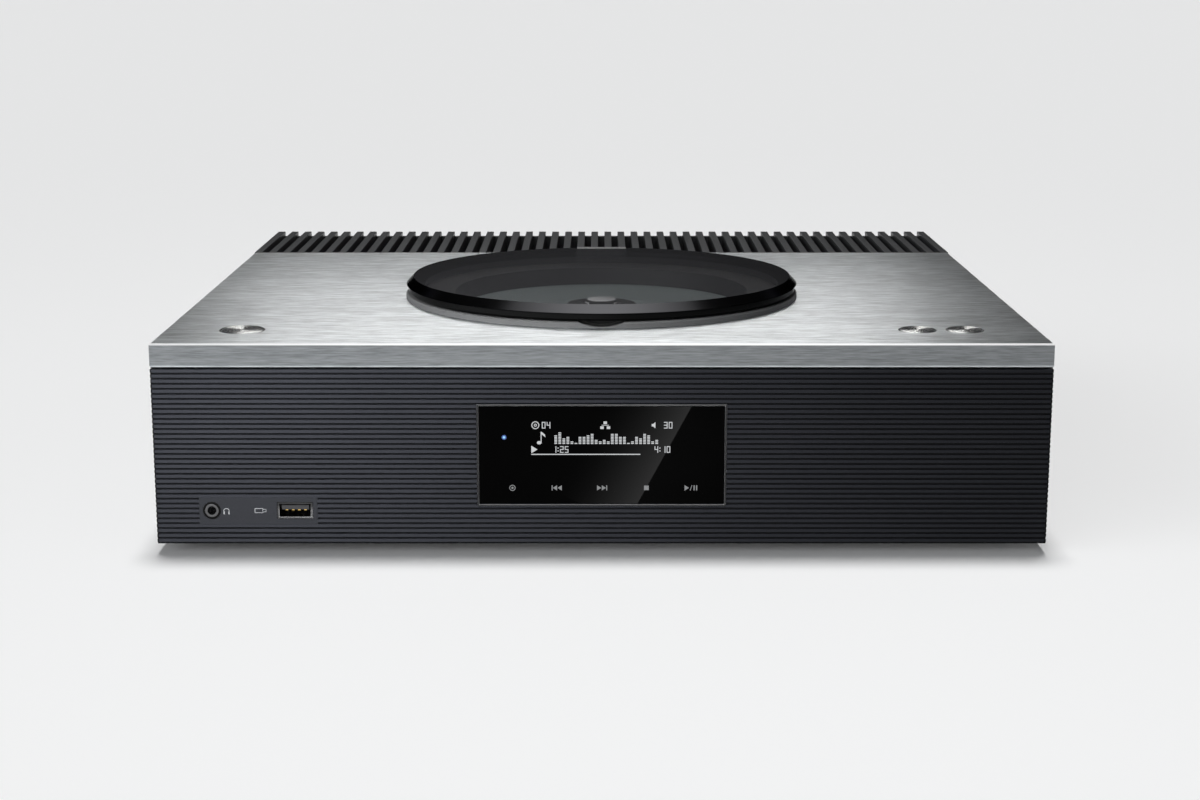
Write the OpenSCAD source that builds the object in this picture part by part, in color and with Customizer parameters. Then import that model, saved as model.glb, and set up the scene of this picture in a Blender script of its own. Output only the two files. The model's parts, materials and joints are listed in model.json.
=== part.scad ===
// All-in-one stereo system: a low console with a top-loading disc player.
// Millimetres, +X right, front towards -Y, +Z up.
// The origin is on the table, under the middle of the console.

/* [Case] */
// Width of the console
case_w = 360; // [350:1:380]
// Depth of the console, front face to the back of the heat sink
case_d = 341; // [338:1:350]
// Height of the ribbed body
body_h = 72; // [71:0.5:76]
// Height of the feet
foot_h = 4; // [3:0.5:8]
// Thickness of the ribbed front panel
front_t = 5; // [4.5:0.1:6]
// Thickness of each side panel
side_t = 3; // [2:0.5:3.5]
// Thickness of the bottom pan
pan_t = 1.5; // [1:0.1:2]
// Number of ribs on the front
rib_count = 35; // [25:1:36]
// Depth of the grooves between the ribs
groove_d = 0.6; // [0.3:0.1:1]

/* [Top plate] */
// Thickness of the brushed top plate at its edge
plate_t = 9.9; // [9:0.1:11]
// Depth of the top plate from front to back
plate_d = 258; // [254:1:260]
// Dark joint between the body and the top plate
plate_gap = 0.6; // [0.3:0.1:1]
// Thickness of the top plate over its pocket
plate_skin = 4; // [3:0.5:5]
// Chamfer along the top edge of the plate
plate_chamfer = 0.7; // [0.3:0.1:1.2]

/* [Heat sink] */
// Number of cooling fins
fin_count = 50; // [30:2:54]
// Thickness of one fin
fin_t = 3.7; // [2:0.1:4]
// Height of the fins above their base
fin_h = 30.5; // [20:0.5:32]

/* [Lid] */
// Distance of the lid's centre from the front
lid_set_back = 123; // [121:1:124]
// Largest radius of the smoked lid
lid_r = 88.2; // [87:0.1:89]
// Radius of the lid's flat top, inside the bevel
lid_top_r = 85; // [83:0.5:86]
// Height of the lid's top over the plate
lid_rise = 9.5; // [9:0.1:11]
// Thickness of the smoked disc
lid_t = 3.7; // [3:0.1:4]
// Width of the metal hinge leaf
hinge_w = 24; // [22:1:30]

/* [Disc well] */
// Radius of the well at its floor
well_r = 64; // [63:0.5:65]
// Depth of the well floor below the plate
well_depth = 5.5; // [5:0.1:6]
// Radius of the hub that centres the disc
hub_r = 7.45; // [7.4:0.01:7.5]
// Travel of the pickup sled
sled_travel = 33; // [28:1:33]

/* [Display] */
// Width of the display opening
display_w = 100.4; // [90:0.1:120]
// Height of the display opening
display_h = 42.2; // [38:0.1:46]
// Height of the display's centre over the table
display_z = 40.8; // [38:0.1:44]

/* [Controls and front sockets] */
// Diameter of the power button
power_d = 18.4; // [16:0.1:20]
// Diameter of the volume buttons
volume_d = 15.2; // [13:0.1:16]
// Distance of the buttons from the front
button_set_back = 31; // [28:0.5:32]
// Travel of the buttons
button_travel = 0.8; // [0.5:0.1:1]
// Radius of the headphone socket's bore
jack_bore_r = 1.8; // [1.75:0.01:1.85]

/* [Hidden] */
$fn = 96;

// Small gap between fixed pieces, and the running gap of pins and shafts
seat_gap = 0.1;
run_gap = 0.05;
// Overlap that lets a cutting shape pass clear of a face
cut = 1;

// Case planes
front_y = -case_d / 2;
rear_y = case_d / 2;
front_in = front_y + front_t;
half_w = case_w / 2;
inner_w = half_w - side_t;
body_z0 = foot_h;
body_z1 = foot_h + body_h;
pan_z1 = body_z0 + pan_t;
foot_r = 15;
foot_x = half_w - 38;
foot_front = front_y + 38;
foot_rear = rear_y - 52;
screw_h = 1.6;
pan_screw_r = 3;
pan_screw_x = [-150, -50, 50, 150];
pan_screw_y = [front_y + 14, 30, 148];
plate_z0 = body_z1 + plate_gap;
plate_z1 = plate_z0 + plate_t;
plate_ceiling = plate_z1 - plate_skin;
plate_rear = front_y + plate_d;
plate_foot_chamfer = 0.5;
skirt_t = 3.5;
skirt_z = body_z1 - 2;
skirt_x = inner_w - 0.4;
skirt_front = front_in + 0.4;
skirt_rear = plate_rear - 8;

// Heat sink and the socket bay under it
sink_front = plate_rear + seat_gap;
sink_base_t = 6;
sink_z0 = plate_z1 - fin_h - sink_base_t;
sink_z1 = sink_z0 + sink_base_t;
fin_pitch = (case_w - fin_t) / (fin_count - 1);
sink_wall = 2.5;
sink_wall_z1 = plate_z1 - 2;
sink_wall_rear = rear_y - 3;
sink_x = inner_w - 0.3;
bay_depth = 14;
panel_t = 1.5;
panel_y1 = rear_y - bay_depth;
panel_y0 = panel_y1 - panel_t;

// Ribs of the front
rib_pitch = body_h / rib_count;
groove_w = rib_pitch * 0.4;
rib_slope = 0.15;

// Lid, seat and hinge
lid_y = front_y + lid_set_back;
lid_z1 = plate_z1 + lid_rise;
lid_z0 = lid_z1 - lid_t;
lid_ring_z0 = plate_z1 + 2.8;
lid_ring_r = lid_r - 0.9;
lid_ring_in = lid_r - 8.2;
seat_z1 = plate_z1 + 2.3;
seat_r = lid_r + 0.2;
well_hole_r = 82;
well_z = plate_z1 - well_depth;
floor_t = 1.6;
floor_z0 = well_z - 2 * floor_t;
hinge_y = lid_y + lid_r + 3.3;
hinge_z = plate_z1 + 3.5;
hinge_barrel_r = 2.2;
hinge_barrel_w = 13.6;
hinge_ear_t = 3;
hinge_pin_r = 1;
hinge_leaf_y0 = lid_y + lid_top_r - 4;
hinge_leaf_y1 = hinge_leaf_y0 + 6.9;
hinge_leaf_z0 = lid_z0 + run_gap;
hinge_leaf_z1 = lid_z1 - 0.1;
ear_x0 = hinge_barrel_w / 2 + 0.4;
ear_x1 = ear_x0 + hinge_ear_t;
pad_r = 1.8;

// Display and front sockets
frame_w = 0.7;
window_front = front_y + 0.4;
window_t = 3;
window_back = window_front + window_t + run_gap;
window_w = display_w - 2 * frame_w - 0.7;
window_h = display_h - 2 * frame_w - 0.7;
lit_w = 65;
lit_h = 21;
lit_rise = 5;
status_x = -39.2;
status_z = display_z + 7.4;
socket_z = 17.9;
jack_x = -157.5;
usb_x = -123.9;
patch_x0 = -162.6;
patch_x1 = -114.8;
patch_z0 = 12;
patch_z1 = 23.3;
jack_ring_r = 3.6;
jack_bush_r = 2.7;
socket_front = front_y + 0.1;
jack_depth = 14;
usb_w = 14.4;
usb_h = 7;
usb_wall = 0.9;
usb_depth = 15;
usb_tongue_w = 11;
usb_tongue_h = 1.9;
socket_board_z1 = socket_z - 5.1;

// Buttons
button_y = front_y + button_set_back;
power_x = -148;
volume_down_x = 130;
volume_up_x = 149.5;
button_proud = 0.4;
button_rim = 1.6;
button_gap = 0.35;
button_board_z1 = plate_ceiling - 10;
switch_w = 6;
switch_h = 4;
board_t = 1.6;
board_post_x = 22.5;
board_post_r = 2.5;
button_board_x = board_post_x + 3;
button_board_y = 9;

// Disc drive
disc_z = well_z + 1.2;
platter_r = 16;
platter_hole_r = platter_r + 1;
chassis_z0 = well_z - 17;
chassis_z1 = chassis_z0 + 2;
chassis_w = 90;
chassis_y0 = lid_y - 82;
chassis_y1 = lid_y + 40;
grommet_x = 40;
grommet_front = lid_y - 60;
grommet_rear = lid_y + 32;
shaft_r = 1;
lens_y = lid_y - 24;
sled_half = 12;
sled_x0 = -16;
sled_x1 = 14;
sled_z0 = chassis_z1 + 1.5;
sled_z1 = sled_z0 + 6.5;
rail_x = 11;
rail_z = sled_z0 + 3;
rail_r = 1.5;
clip_half = 2.6;
clip_t = 4;
slot_half = 9;
turret_half = 5;
lens_r = 3.5;

// Gears: rack and pinion, then a larger wheel driven by the motor
rack_module = 0.8;
rack_pitch = PI * rack_module;
rack_x = sled_x1 + 3.5;
rack_z0 = sled_z0 + 0.6;
rack_z1 = sled_z0 + 4;
pinion_teeth = 12;
pinion_r = pinion_teeth * rack_module / 2;
gear_x = rack_x + pinion_r;
gear_y = lid_y - 42.5;
wheel_module = 0.5;
wheel_teeth = 36;
motor_teeth = 10;
wheel_r = wheel_teeth * wheel_module / 2;
motor_r = motor_teeth * wheel_module / 2;
motor_x = gear_x + wheel_r + motor_r;
wheel_z0 = sled_z1 + 0.4;
wheel_z1 = wheel_z0 + 1.5;

// Boards: two on posts over the pan, and the amplifier under the heat sink
post_r = 3;
post_z1 = pan_z1 + 8.5;
post_inset = 6;
board_z0 = post_z1 + run_gap;
board_z1 = board_z0 + board_t;
board_y0 = 4;
board_y1 = 150;
main_x = [-66, 66];
supply_x = [-170, -75];
capacitor_r = 12.5;
capacitor_x = -100;
capacitor_y = [28, 128];
core_low = [-150, 60];
core_high = [-112, 100];
winding_proud = 6;
amp_low = [75, 92];
amp_high = [172, 150];
amp_z1 = sink_z0 - 8;
device_x = [95, 125, 155];
device_w = 16;
device_y0 = 100;
device_y1 = 125;
coil_r = 9;
coil_h = 16;
coil_x = [90, 115, 140, 160];
coil_y = 128;

// Rear sockets
bay_z = (pan_z1 + sink_z0) / 2;
speaker_x = [95, 115, 140, 160];
speaker_r = 3.6;
speaker_bore_r = 2.05;
speaker_depth = 18;
speaker_end = panel_y1 + 11;
collar_neck_r = 6;
collar_r = 8;
network_x = -10;
network_half_w = 8;
network_half_h = 7;
network_depth = 12;
aux_x = 25;
aux_r = 4;
aux_end = panel_y1 + 3;
antenna_x = 55;
antenna_r = 4.75;
antenna_end = panel_y1 + 10;
inlet_x = -140;
inlet_half_w = 12;
inlet_half_h = 8;
inlet_flange = 2.5;
inlet_depth = 10;
rear_screw_x = [-165, -60, 75, 170];
rear_screw_r = 2.8;

// Colours
charcoal = [0.19, 0.2, 0.22];
black = [0.06, 0.06, 0.07];
brushed = [0.72, 0.73, 0.74];
steel = [0.6, 0.61, 0.63];
board_green = [0.1, 0.32, 0.2];

// Box between two corners.
module block(low, high) {
    translate(low) cube(high - low);
}

// Cylinder along Z between two heights.
module post(r, z0, z1) {
    translate([0, 0, z0]) cylinder(r = r, h = z1 - z0);
}

// Cylinder along Y between two depths.
module rod_y(r, y0, y1) {
    translate([0, y0, 0]) rotate([-90, 0, 0]) cylinder(r = r, h = y1 - y0);
}

// Cylinder along X, centred on X = 0.
module rod_x(r, w) {
    rotate([0, 90, 0]) cylinder(r = r, h = w, center = true);
}

// Outline of depths and heights, drawn out along X.
module along_x(w) {
    rotate([90, 0, 90]) linear_extrude(w, center = true) children();
}

// Outline of widths and heights, drawn out along Y.
module along_y(y0, y1) {
    translate([0, y1, 0]) rotate([90, 0, 0]) linear_extrude(y1 - y0) children();
}

// Both of a pair that is mirrored about the middle of the console.
module both_sides() {
    children();
    mirror([1, 0, 0]) children();
}

// Four places: two widths at two depths.
module at_corners(x, y_front, y_back) {
    for (sx = [-1, 1]) for (y = [y_front, y_back]) translate([sx * x, y, 0]) children();
}

// Outline of one gear: a straight-sided tooth at each step round the circle.
function tooth(r, angle, module_size) = [
    for (p = [
        [r - 1.15 * module_size, -0.9],
        [r, -0.62],
        [r + 0.75 * module_size, -0.28],
        [r + 0.75 * module_size, 0.28],
        [r, 0.62],
        [r - 1.15 * module_size, 0.9]
    ])
    let (turn = angle + p[1] * module_size / r * 180 / PI)
    p[0] * [cos(turn), sin(turn)]
];

module gear_outline(teeth, module_size, first_angle) {
    r = teeth * module_size / 2;
    polygon([for (i = [0 : teeth - 1]) each tooth(r, first_angle + i * 360 / teeth, module_size)]);
}

// Case

module base_pan() {
    color(steel) {
        block([-inner_w + seat_gap, front_in + seat_gap, body_z0], [inner_w - seat_gap, panel_y1, pan_z1]);
        for (board = [main_x, supply_x])
            for (x = [board[0] + post_inset, board[1] - post_inset])
                for (y = [board_y0 + post_inset, board_y1 - post_inset])
                    translate([x, y, 0]) post(post_r, pan_z1 - cut, post_z1);
    }
}

module feet() {
    color(black) at_corners(foot_x, foot_front, foot_rear)
        rotate_extrude() polygon([[0, 0], [foot_r - 1, 0], [foot_r, 1], [foot_r - 1, foot_h], [0, foot_h]]);
}

function rib(i) =
    let (z = body_z0 + i * rib_pitch)
    [
        [front_y + groove_d, z],
        [front_y + groove_d, z + groove_w - rib_slope],
        [front_y, z + groove_w],
        [front_y, z + rib_pitch - rib_slope]
    ];

module front_panel() {
    ribs = [for (i = [0 : rib_count - 1]) each rib(i)];
    back = [[front_y + groove_d, body_z1], [front_in, body_z1], [front_in, body_z0]];
    color(charcoal) difference() {
        along_x(case_w) polygon(concat(ribs, back));
        framed(display_w, display_h, front_y - cut, front_in + cut);
        block([patch_x0, front_y - cut, patch_z0], [patch_x1, front_in + cut, patch_z1]);
    }
}

module socket_plate() {
    g = run_gap;
    color(charcoal) difference() {
        block([patch_x0 + g, front_y + 0.05, patch_z0 + g], [patch_x1 - g, front_in, patch_z1 - g]);
        translate([jack_x, 0, socket_z]) rod_y(jack_ring_r + g, front_y - cut, front_in + cut);
        translate([usb_x, 0, socket_z])
            block([-usb_w / 2 - g, front_y - cut, -usb_h / 2 - g],
                  [usb_w / 2 + g, front_in + cut, usb_h / 2 + g]);
    }
}

module side_panel() {
    block([inner_w, front_in + seat_gap, body_z0], [half_w, rear_y, body_z1]);
}

module left_side_panel() {
    color(charcoal) mirror([1, 0, 0]) side_panel();
}

module right_side_panel() {
    color(charcoal) side_panel();
}

module rear_panel() {
    color(black) difference() {
        block([-inner_w + seat_gap, panel_y0, pan_z1 + seat_gap],
              [inner_w - seat_gap, panel_y1, sink_z0 - seat_gap]);
        translate([0, 0, bay_z]) {
            for (x = speaker_x) translate([x, 0, 0]) panel_hole(collar_neck_r);
            translate([aux_x, 0, 0]) panel_hole(aux_r);
            translate([antenna_x, 0, 0]) panel_hole(antenna_r);
            translate([network_x, 0, 0]) panel_window(network_half_w, network_half_h);
            translate([inlet_x, 0, 0]) panel_window(inlet_half_w, inlet_half_h);
        }
    }
}

// Round hole in the rear panel, for a socket of radius r.
module panel_hole(r) {
    rod_y(r + seat_gap, panel_y0 - cut, panel_y1 + cut);
}

// Square hole in the rear panel, for a socket of these half sizes.
module panel_window(half_w, half_h) {
    w = half_w + seat_gap;
    h = half_h + seat_gap;
    block([-w, panel_y0 - cut, -h], [w, panel_y1 + cut, h]);
}

// Depth outline of the top plate, with its chamfered edges.
function plate_outline(low, high) = [
    [low + plate_foot_chamfer, plate_z0], [low, plate_z0 + plate_foot_chamfer],
    [low, plate_z1 - plate_chamfer], [low + plate_chamfer, plate_z1],
    [high - plate_chamfer, plate_z1], [high, plate_z1 - plate_chamfer],
    [high, plate_z0 + plate_foot_chamfer], [high - plate_foot_chamfer, plate_z0]
];

module top_plate() {
    color(brushed) {
        difference() {
            union() {
                intersection() {
                    along_x(case_w) polygon(plate_outline(front_y, plate_rear));
                    along_y(front_y, plate_rear) polygon(plate_outline(-half_w, half_w));
                }
                block([-skirt_x, skirt_front, skirt_z], [skirt_x, skirt_rear, plate_z0 + cut]);
            }
            block([-skirt_x + skirt_t, skirt_front + skirt_t, skirt_z - cut],
                  [skirt_x - skirt_t, skirt_rear - skirt_t, plate_ceiling]);
            translate([0, lid_y, 0]) post(well_hole_r, plate_ceiling - cut, plate_z1 + cut);
            button_places() post($button_d / 2 + button_gap, plate_ceiling - cut, plate_z1 + cut);
        }
        for (x = [power_x, (volume_down_x + volume_up_x) / 2])
            for (side = [-1, 1])
                translate([x + side * board_post_x, button_y, 0])
                    post(board_post_r, button_board_z1, plate_ceiling + cut);
    }
}

// Fins on a base, with a wall across them at the front and a little inside their rear ends.
// The last fin of each side lies on the side panel.
module heat_sink() {
    mid = fin_t / 2;
    color(black) {
        block([-sink_x, sink_front, sink_z0], [sink_x, rear_y, sink_z1]);
        for (i = [1 : fin_count - 2])
            translate([-half_w + i * fin_pitch, 0, 0])
                block([0, sink_front, sink_z1 - 0.1], [fin_t, rear_y, plate_z1]);
        both_sides() block([half_w - fin_t, sink_front, plate_z0], [half_w, rear_y, plate_z1]);
        both_sides()
            block([half_w - fin_pitch - mid, sink_front, plate_z0], [half_w - mid, rear_y, plate_z0 + 3]);
        for (y = [sink_front, sink_wall_rear - sink_wall]) {
            block([-half_w + mid, y, plate_z0], [half_w - mid, y + sink_wall, sink_wall_z1]);
            block([-sink_x, y, sink_z1 - 0.1], [sink_x, y + sink_wall, plate_z0 + cut]);
        }
    }
}

// Round screw head lying on a face, pointing down.
module screw_head(r, h) {
    rotate_extrude() polygon([[0, 0], [r, 0], [r, -h * 0.5], [r * 0.75, -h], [0, -h]]);
}

module panel_screws() {
    color(black) for (x = pan_screw_x) for (y = pan_screw_y)
        translate([x, y, body_z0]) screw_head(pan_screw_r, screw_h);
}

module rear_screws() {
    color(steel) for (x = rear_screw_x) for (z = [pan_z1 + 6, sink_z0 - 6])
        translate([x, panel_y1, z]) rotate([90, 0, 0]) screw_head(rear_screw_r, screw_h);
}

// Display

module framed(w, h, y0, y1) {
    translate([0, 0, display_z]) block([-w / 2, y0, -h / 2], [w / 2, y1, h / 2]);
}

module display_frame() {
    w = display_w - 2 * seat_gap;
    h = display_h - 2 * seat_gap;
    color(charcoal) difference() {
        framed(w, h, front_y + 0.1, front_in);
        framed(w - 2 * frame_w, h - 2 * frame_w, front_y - cut, front_in + cut);
    }
}

module display_window() {
    color(black) framed(window_w, window_h, window_front, window_front + window_t);
}

module touch_board() {
    back = window_back + 1;
    color(board_green) difference() {
        framed(window_w - 2, window_h - 2, window_back, back);
        translate([0, 0, lit_rise]) framed(lit_w + 1, lit_h + 1, window_back - cut, back + cut);
        translate([status_x, 0, status_z]) rod_y(1, window_back - cut, back + cut);
    }
}

module display_module() {
    color(steel) translate([0, 0, lit_rise]) framed(lit_w, lit_h, window_back, window_back + 4);
}

// Clear pipe that carries the status light to the glass, on the block that lights it.
module status_light() {
    pipe_end = window_back + 3;
    color([0.3, 0.6, 1]) translate([status_x, 0, status_z]) {
        rod_y(0.8, window_back, pipe_end);
        block([-2, pipe_end, -2], [2, pipe_end + 2, 2]);
    }
}

// Front sockets

module headphone_jack() {
    color(black) translate([jack_x, 0, socket_z]) difference() {
        union() {
            rod_y(jack_bush_r, socket_front, front_in + 1);
            block([-5.5, front_in + 0.3, -5], [5.5, front_in + 13, 6]);
        }
        rod_y(jack_bore_r, socket_front - cut, socket_front + jack_depth);
    }
}

module jack_ring() {
    color(steel) translate([jack_x, 0, socket_z]) difference() {
        rod_y(jack_ring_r, front_y + 0.02, front_y + 2.5);
        rod_y(jack_bush_r + run_gap, front_y - cut, front_y + 2.5 + cut);
    }
}

module usb_shell() {
    in_w = usb_w / 2 - usb_wall;
    in_h = usb_h / 2 - usb_wall;
    color(steel) translate([usb_x, 0, socket_z]) difference() {
        block([-usb_w / 2, socket_front, -usb_h / 2], [usb_w / 2, socket_front + usb_depth, usb_h / 2]);
        block([-in_w, socket_front - cut, -in_h], [in_w, socket_front + usb_depth - usb_wall, in_h]);
    }
}

module usb_tongue() {
    top = usb_h / 2 - usb_wall - 0.5;
    color(black) translate([usb_x, 0, socket_z])
        block([-usb_tongue_w / 2, socket_front + 1.2, top - usb_tongue_h],
              [usb_tongue_w / 2, socket_front + usb_depth - usb_wall, top]);
}

module socket_board() {
    z1 = socket_board_z1;
    color(board_green) {
        block([patch_x0 - 4, front_in + 1, z1 - board_t], [patch_x1 + 4, front_in + 24, z1]);
        translate([usb_x, 0, 0])
            block([-6, front_in + 2, z1 - 0.1], [6, front_in + 9, socket_z - usb_h / 2 - run_gap]);
        for (x = [jack_x, usb_x])
            translate([x, front_in + 19, 0]) post(board_post_r, pan_z1, z1 - board_t + 0.1);
    }
}

// Buttons in the top plate

module button_places() {
    translate([power_x, button_y, 0]) {
        $button_d = power_d;
        children();
    }
    for (x = [volume_down_x, volume_up_x]) translate([x, button_y, 0]) {
        $button_d = volume_d;
        children();
    }
}

// Metal cap, slightly dished, with a rim that stays under the plate and a stem over its switch.
module button_cap(d) {
    r = d / 2;
    top = plate_z1 + button_proud;
    rim_z1 = plate_ceiling - 0.3;
    stem_z0 = button_board_z1 + switch_h + button_travel + 0.3;
    rotate_extrude() polygon([
        [0, stem_z0], [2, stem_z0], [2, rim_z1 - 2], [r + button_rim, rim_z1 - 2],
        [r + button_rim, rim_z1], [r, rim_z1], [r, top - 0.35], [r - 0.5, top],
        [r - 1.2, top], [0, top - 0.3]
    ]);
}

module power_button() {
    color(brushed) translate([power_x, button_y, 0]) button_cap(power_d);
}

module volume_down_button() {
    color(brushed) translate([volume_down_x, button_y, 0]) button_cap(volume_d);
}

module volume_up_button() {
    color(brushed) translate([volume_up_x, button_y, 0]) button_cap(volume_d);
}

module button_boards() {
    z1 = button_board_z1 - run_gap;
    color(board_green) for (x = [power_x, (volume_down_x + volume_up_x) / 2])
        translate([x, button_y, 0])
            block([-button_board_x, -button_board_y, z1 - board_t], [button_board_x, button_board_y, z1]);
}

module button_switches() {
    s = switch_w / 2;
    color(black) button_places() block([-s, -s, button_board_z1], [s, s, button_board_z1 + switch_h]);
}

// Lid

// Room in the lid's back edge for the hinge.
module hinge_notch(w, y0, z0, z1) {
    block([-w / 2, y0, z0 - cut], [w / 2, hinge_y, z1 + cut]);
}

module lid_window() {
    color([0.12, 0.13, 0.14, 0.6]) difference() {
        translate([0, lid_y, 0]) rotate_extrude() polygon([
            [0, lid_z0], [lid_r - 0.3, lid_z0], [lid_r, lid_z0 + 0.3], [lid_top_r, lid_z1], [0, lid_z1]
        ]);
        hinge_notch(hinge_w + 0.4, hinge_leaf_y0 - 0.2, lid_z0, lid_z1);
    }
}

module lid_ring() {
    color(black) difference() {
        translate([0, lid_y, 0]) rotate_extrude() polygon([
            [lid_ring_in, lid_ring_z0], [lid_ring_r - 0.8, lid_ring_z0], [lid_ring_r, lid_ring_z0 + 0.8],
            [lid_ring_r, lid_z0], [lid_ring_in, lid_z0]
        ]);
        hinge_notch(hinge_barrel_w + 1, lid_y + lid_ring_in + 6, lid_ring_z0, lid_z0);
    }
}

module lid_pads() {
    r = (lid_ring_in + lid_ring_r) / 2;
    color(black) for (a = [30, 150, 270 - 20, 270 + 20])
        translate([r * cos(a), lid_y + r * sin(a), 0]) post(pad_r, seat_z1, lid_ring_z0 - 0.1);
}

module hinge_arm() {
    color(steel) difference() {
        union() {
            block([-hinge_w / 2, hinge_leaf_y0, hinge_leaf_z0], [hinge_w / 2, hinge_leaf_y1, hinge_leaf_z1]);
            along_x(hinge_barrel_w) polygon([
                [hinge_leaf_y1 - 1, hinge_leaf_z0],
                [hinge_y - 0.4, hinge_z - hinge_barrel_r + 0.1],
                [hinge_y + hinge_barrel_r * 0.7, hinge_z + hinge_barrel_r * 0.7],
                [hinge_leaf_y1, hinge_leaf_z1],
                [hinge_leaf_y1 - 1, hinge_leaf_z1]
            ]);
            translate([0, hinge_y, hinge_z]) rod_x(hinge_barrel_r, hinge_barrel_w);
        }
        translate([0, hinge_y, hinge_z]) rod_x(hinge_pin_r + run_gap, hinge_barrel_w + 2);
    }
}

module hinge_pin() {
    color(steel) translate([0, hinge_y, hinge_z]) rod_x(hinge_pin_r, 2 * ear_x1 + 0.6);
}

module hinge_bracket() {
    ear_r = hinge_barrel_r;
    base_z1 = plate_z1 + 0.8;
    base_y0 = lid_y + seat_r + 0.4;
    color(steel) difference() {
        union() {
            block([-ear_x1, base_y0, plate_z1], [ear_x1, hinge_y + 6, base_z1]);
            both_sides() translate([ear_x0 + hinge_ear_t / 2, hinge_y, 0]) {
                block([-hinge_ear_t / 2, -ear_r, plate_z1 + 0.1], [hinge_ear_t / 2, ear_r, hinge_z]);
                translate([0, 0, hinge_z]) rod_x(ear_r, hinge_ear_t);
            }
        }
        translate([0, hinge_y, hinge_z]) rod_x(hinge_pin_r + 0.02, 4 * hinge_w);
    }
}

// Disc well

module seat_ring() {
    bottom = well_z - floor_t;
    scoop_r = 26;
    scoop_depth = 1.9;
    color([0.2, 0.2, 0.21]) difference() {
        translate([0, lid_y, 0]) rotate_extrude() polygon([
            [well_r, bottom], [well_r + 2, seat_z1], [seat_r - 0.6, seat_z1], [seat_r, seat_z1 - 0.6],
            [seat_r, plate_z1], [well_hole_r - 0.3, plate_z1], [well_hole_r - 0.3, bottom],
            [well_hole_r - 3.5, bottom], [well_hole_r - 3.5, plate_z1 - 1], [well_r + 5, plate_z1 - 1],
            [well_r + 5, bottom]
        ]);
        translate([0, 0, seat_z1 - scoop_depth + scoop_r])
            rod_y(scoop_r, lid_y - seat_r - cut, lid_y - lid_ring_in + 1);
    }
}

module well_floor() {
    flange_r = well_hole_r - 2;
    color([0.36, 0.39, 0.38]) difference() {
        translate([0, lid_y, 0]) {
            rotate_extrude() polygon([
                [0, floor_z0], [flange_r, floor_z0], [flange_r, floor_z0 + floor_t],
                [well_r - seat_gap, floor_z0 + floor_t], [well_r - seat_gap, well_z], [0, well_z]
            ]);
            for (x = [-grommet_x, grommet_x]) for (y = [grommet_front, grommet_rear])
                translate([x, y - lid_y, 0]) post(3, chassis_z1 + 2.2, floor_z0 + 0.1);
        }
        translate([0, lid_y, 0]) {
            post(platter_hole_r, floor_z0 - cut, well_z + cut);
            rotate_extrude() polygon([
                [platter_r, well_z + cut], [platter_r + 6.5, well_z + cut], [platter_r + 6.5, well_z - 0.01],
                [platter_r + 4.5, well_z - 0.8], [platter_r, well_z - 0.8]
            ]);
        }
        block([-slot_half, lens_y - sled_travel - turret_half - 0.5, floor_z0 - cut],
              [slot_half, lid_y, well_z + cut]);
    }
}

// Disc drive

module drive_chassis() {
    clip_z1 = rail_z + clip_half;
    color(steel) difference() {
        union() {
            block([-chassis_w / 2, chassis_y0, chassis_z0], [chassis_w / 2, chassis_y1, chassis_z1]);
            both_sides() translate([rail_x, 0, 0]) for (y = [chassis_y0, lid_y - 4.5])
                block([-clip_half, y, chassis_z1 - 0.1], [clip_half, y + clip_t, clip_z1]);
            translate([gear_x, gear_y, 0]) post(shaft_r, chassis_z1 - 0.1, wheel_z1 + 0.3);
        }
        translate([0, lid_y, 0]) post(6, chassis_z0 - cut, chassis_z1 + cut);
        translate([motor_x, gear_y, 0]) post(2, chassis_z0 - cut, chassis_z1 + cut);
        both_sides() translate([rail_x, 0, rail_z]) rod_y(rail_r + 0.02, chassis_y0 - cut, lid_y);
        for (x = [-grommet_x, grommet_x]) for (y = [grommet_front, grommet_rear])
            translate([x, y, 0]) post(4.05, chassis_z0 - cut, chassis_z1 + cut);
    }
}

module chassis_grommets() {
    color(black) for (x = [-grommet_x, grommet_x]) for (y = [grommet_front, grommet_rear])
        translate([x, y, 0]) rotate_extrude() polygon([
            [0, chassis_z0 - 2], [5, chassis_z0 - 2], [5, chassis_z0 - 0.1], [4, chassis_z0 - 0.1],
            [4, chassis_z1 + 0.1], [5, chassis_z1 + 0.1], [5, chassis_z1 + 2.1], [0, chassis_z1 + 2.1]
        ]);
}

module spindle_motor() {
    color(steel) translate([0, lid_y, 0]) difference() {
        rotate_extrude() polygon([
            [0, chassis_z0 - 13], [11, chassis_z0 - 13], [12, chassis_z0 - 12], [12, chassis_z0 - 0.05],
            [3, chassis_z0 - 0.05], [3, chassis_z1 + 1], [0, chassis_z1 + 1]
        ]);
        post(shaft_r + run_gap, chassis_z0 - 10, chassis_z1 + 2);
    }
}

module spindle_shaft() {
    color(steel) translate([0, lid_y, 0]) post(shaft_r, chassis_z0 - 9, well_z - 0.5);
}

module turntable() {
    neck_r = 4.5;
    color(black) translate([0, lid_y, 0]) difference() {
        rotate_extrude() polygon([
            [0, chassis_z1 + 2], [neck_r, chassis_z1 + 2], [neck_r, well_z - 2.6],
            [platter_r - 0.6, well_z - 2.6], [platter_r, well_z - 2],
            [platter_r, disc_z - 0.3], [platter_r - 0.3, disc_z],
            [hub_r, disc_z], [hub_r, disc_z + 1.5], [hub_r - 0.7, disc_z + 2], [0, disc_z + 2]
        ]);
        post(shaft_r + 0.02, chassis_z1, well_z - 0.45);
    }
}

module hub_cap() {
    color([0.8, 0.8, 0.82]) translate([0, lid_y, disc_z + 2.02]) rotate_extrude() polygon([
        [0, 0], [6.6, 0], [6.2, 0.35], [4.5, 0.6], [2.5, 0.75], [0, 0.8]
    ]);
}

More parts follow.
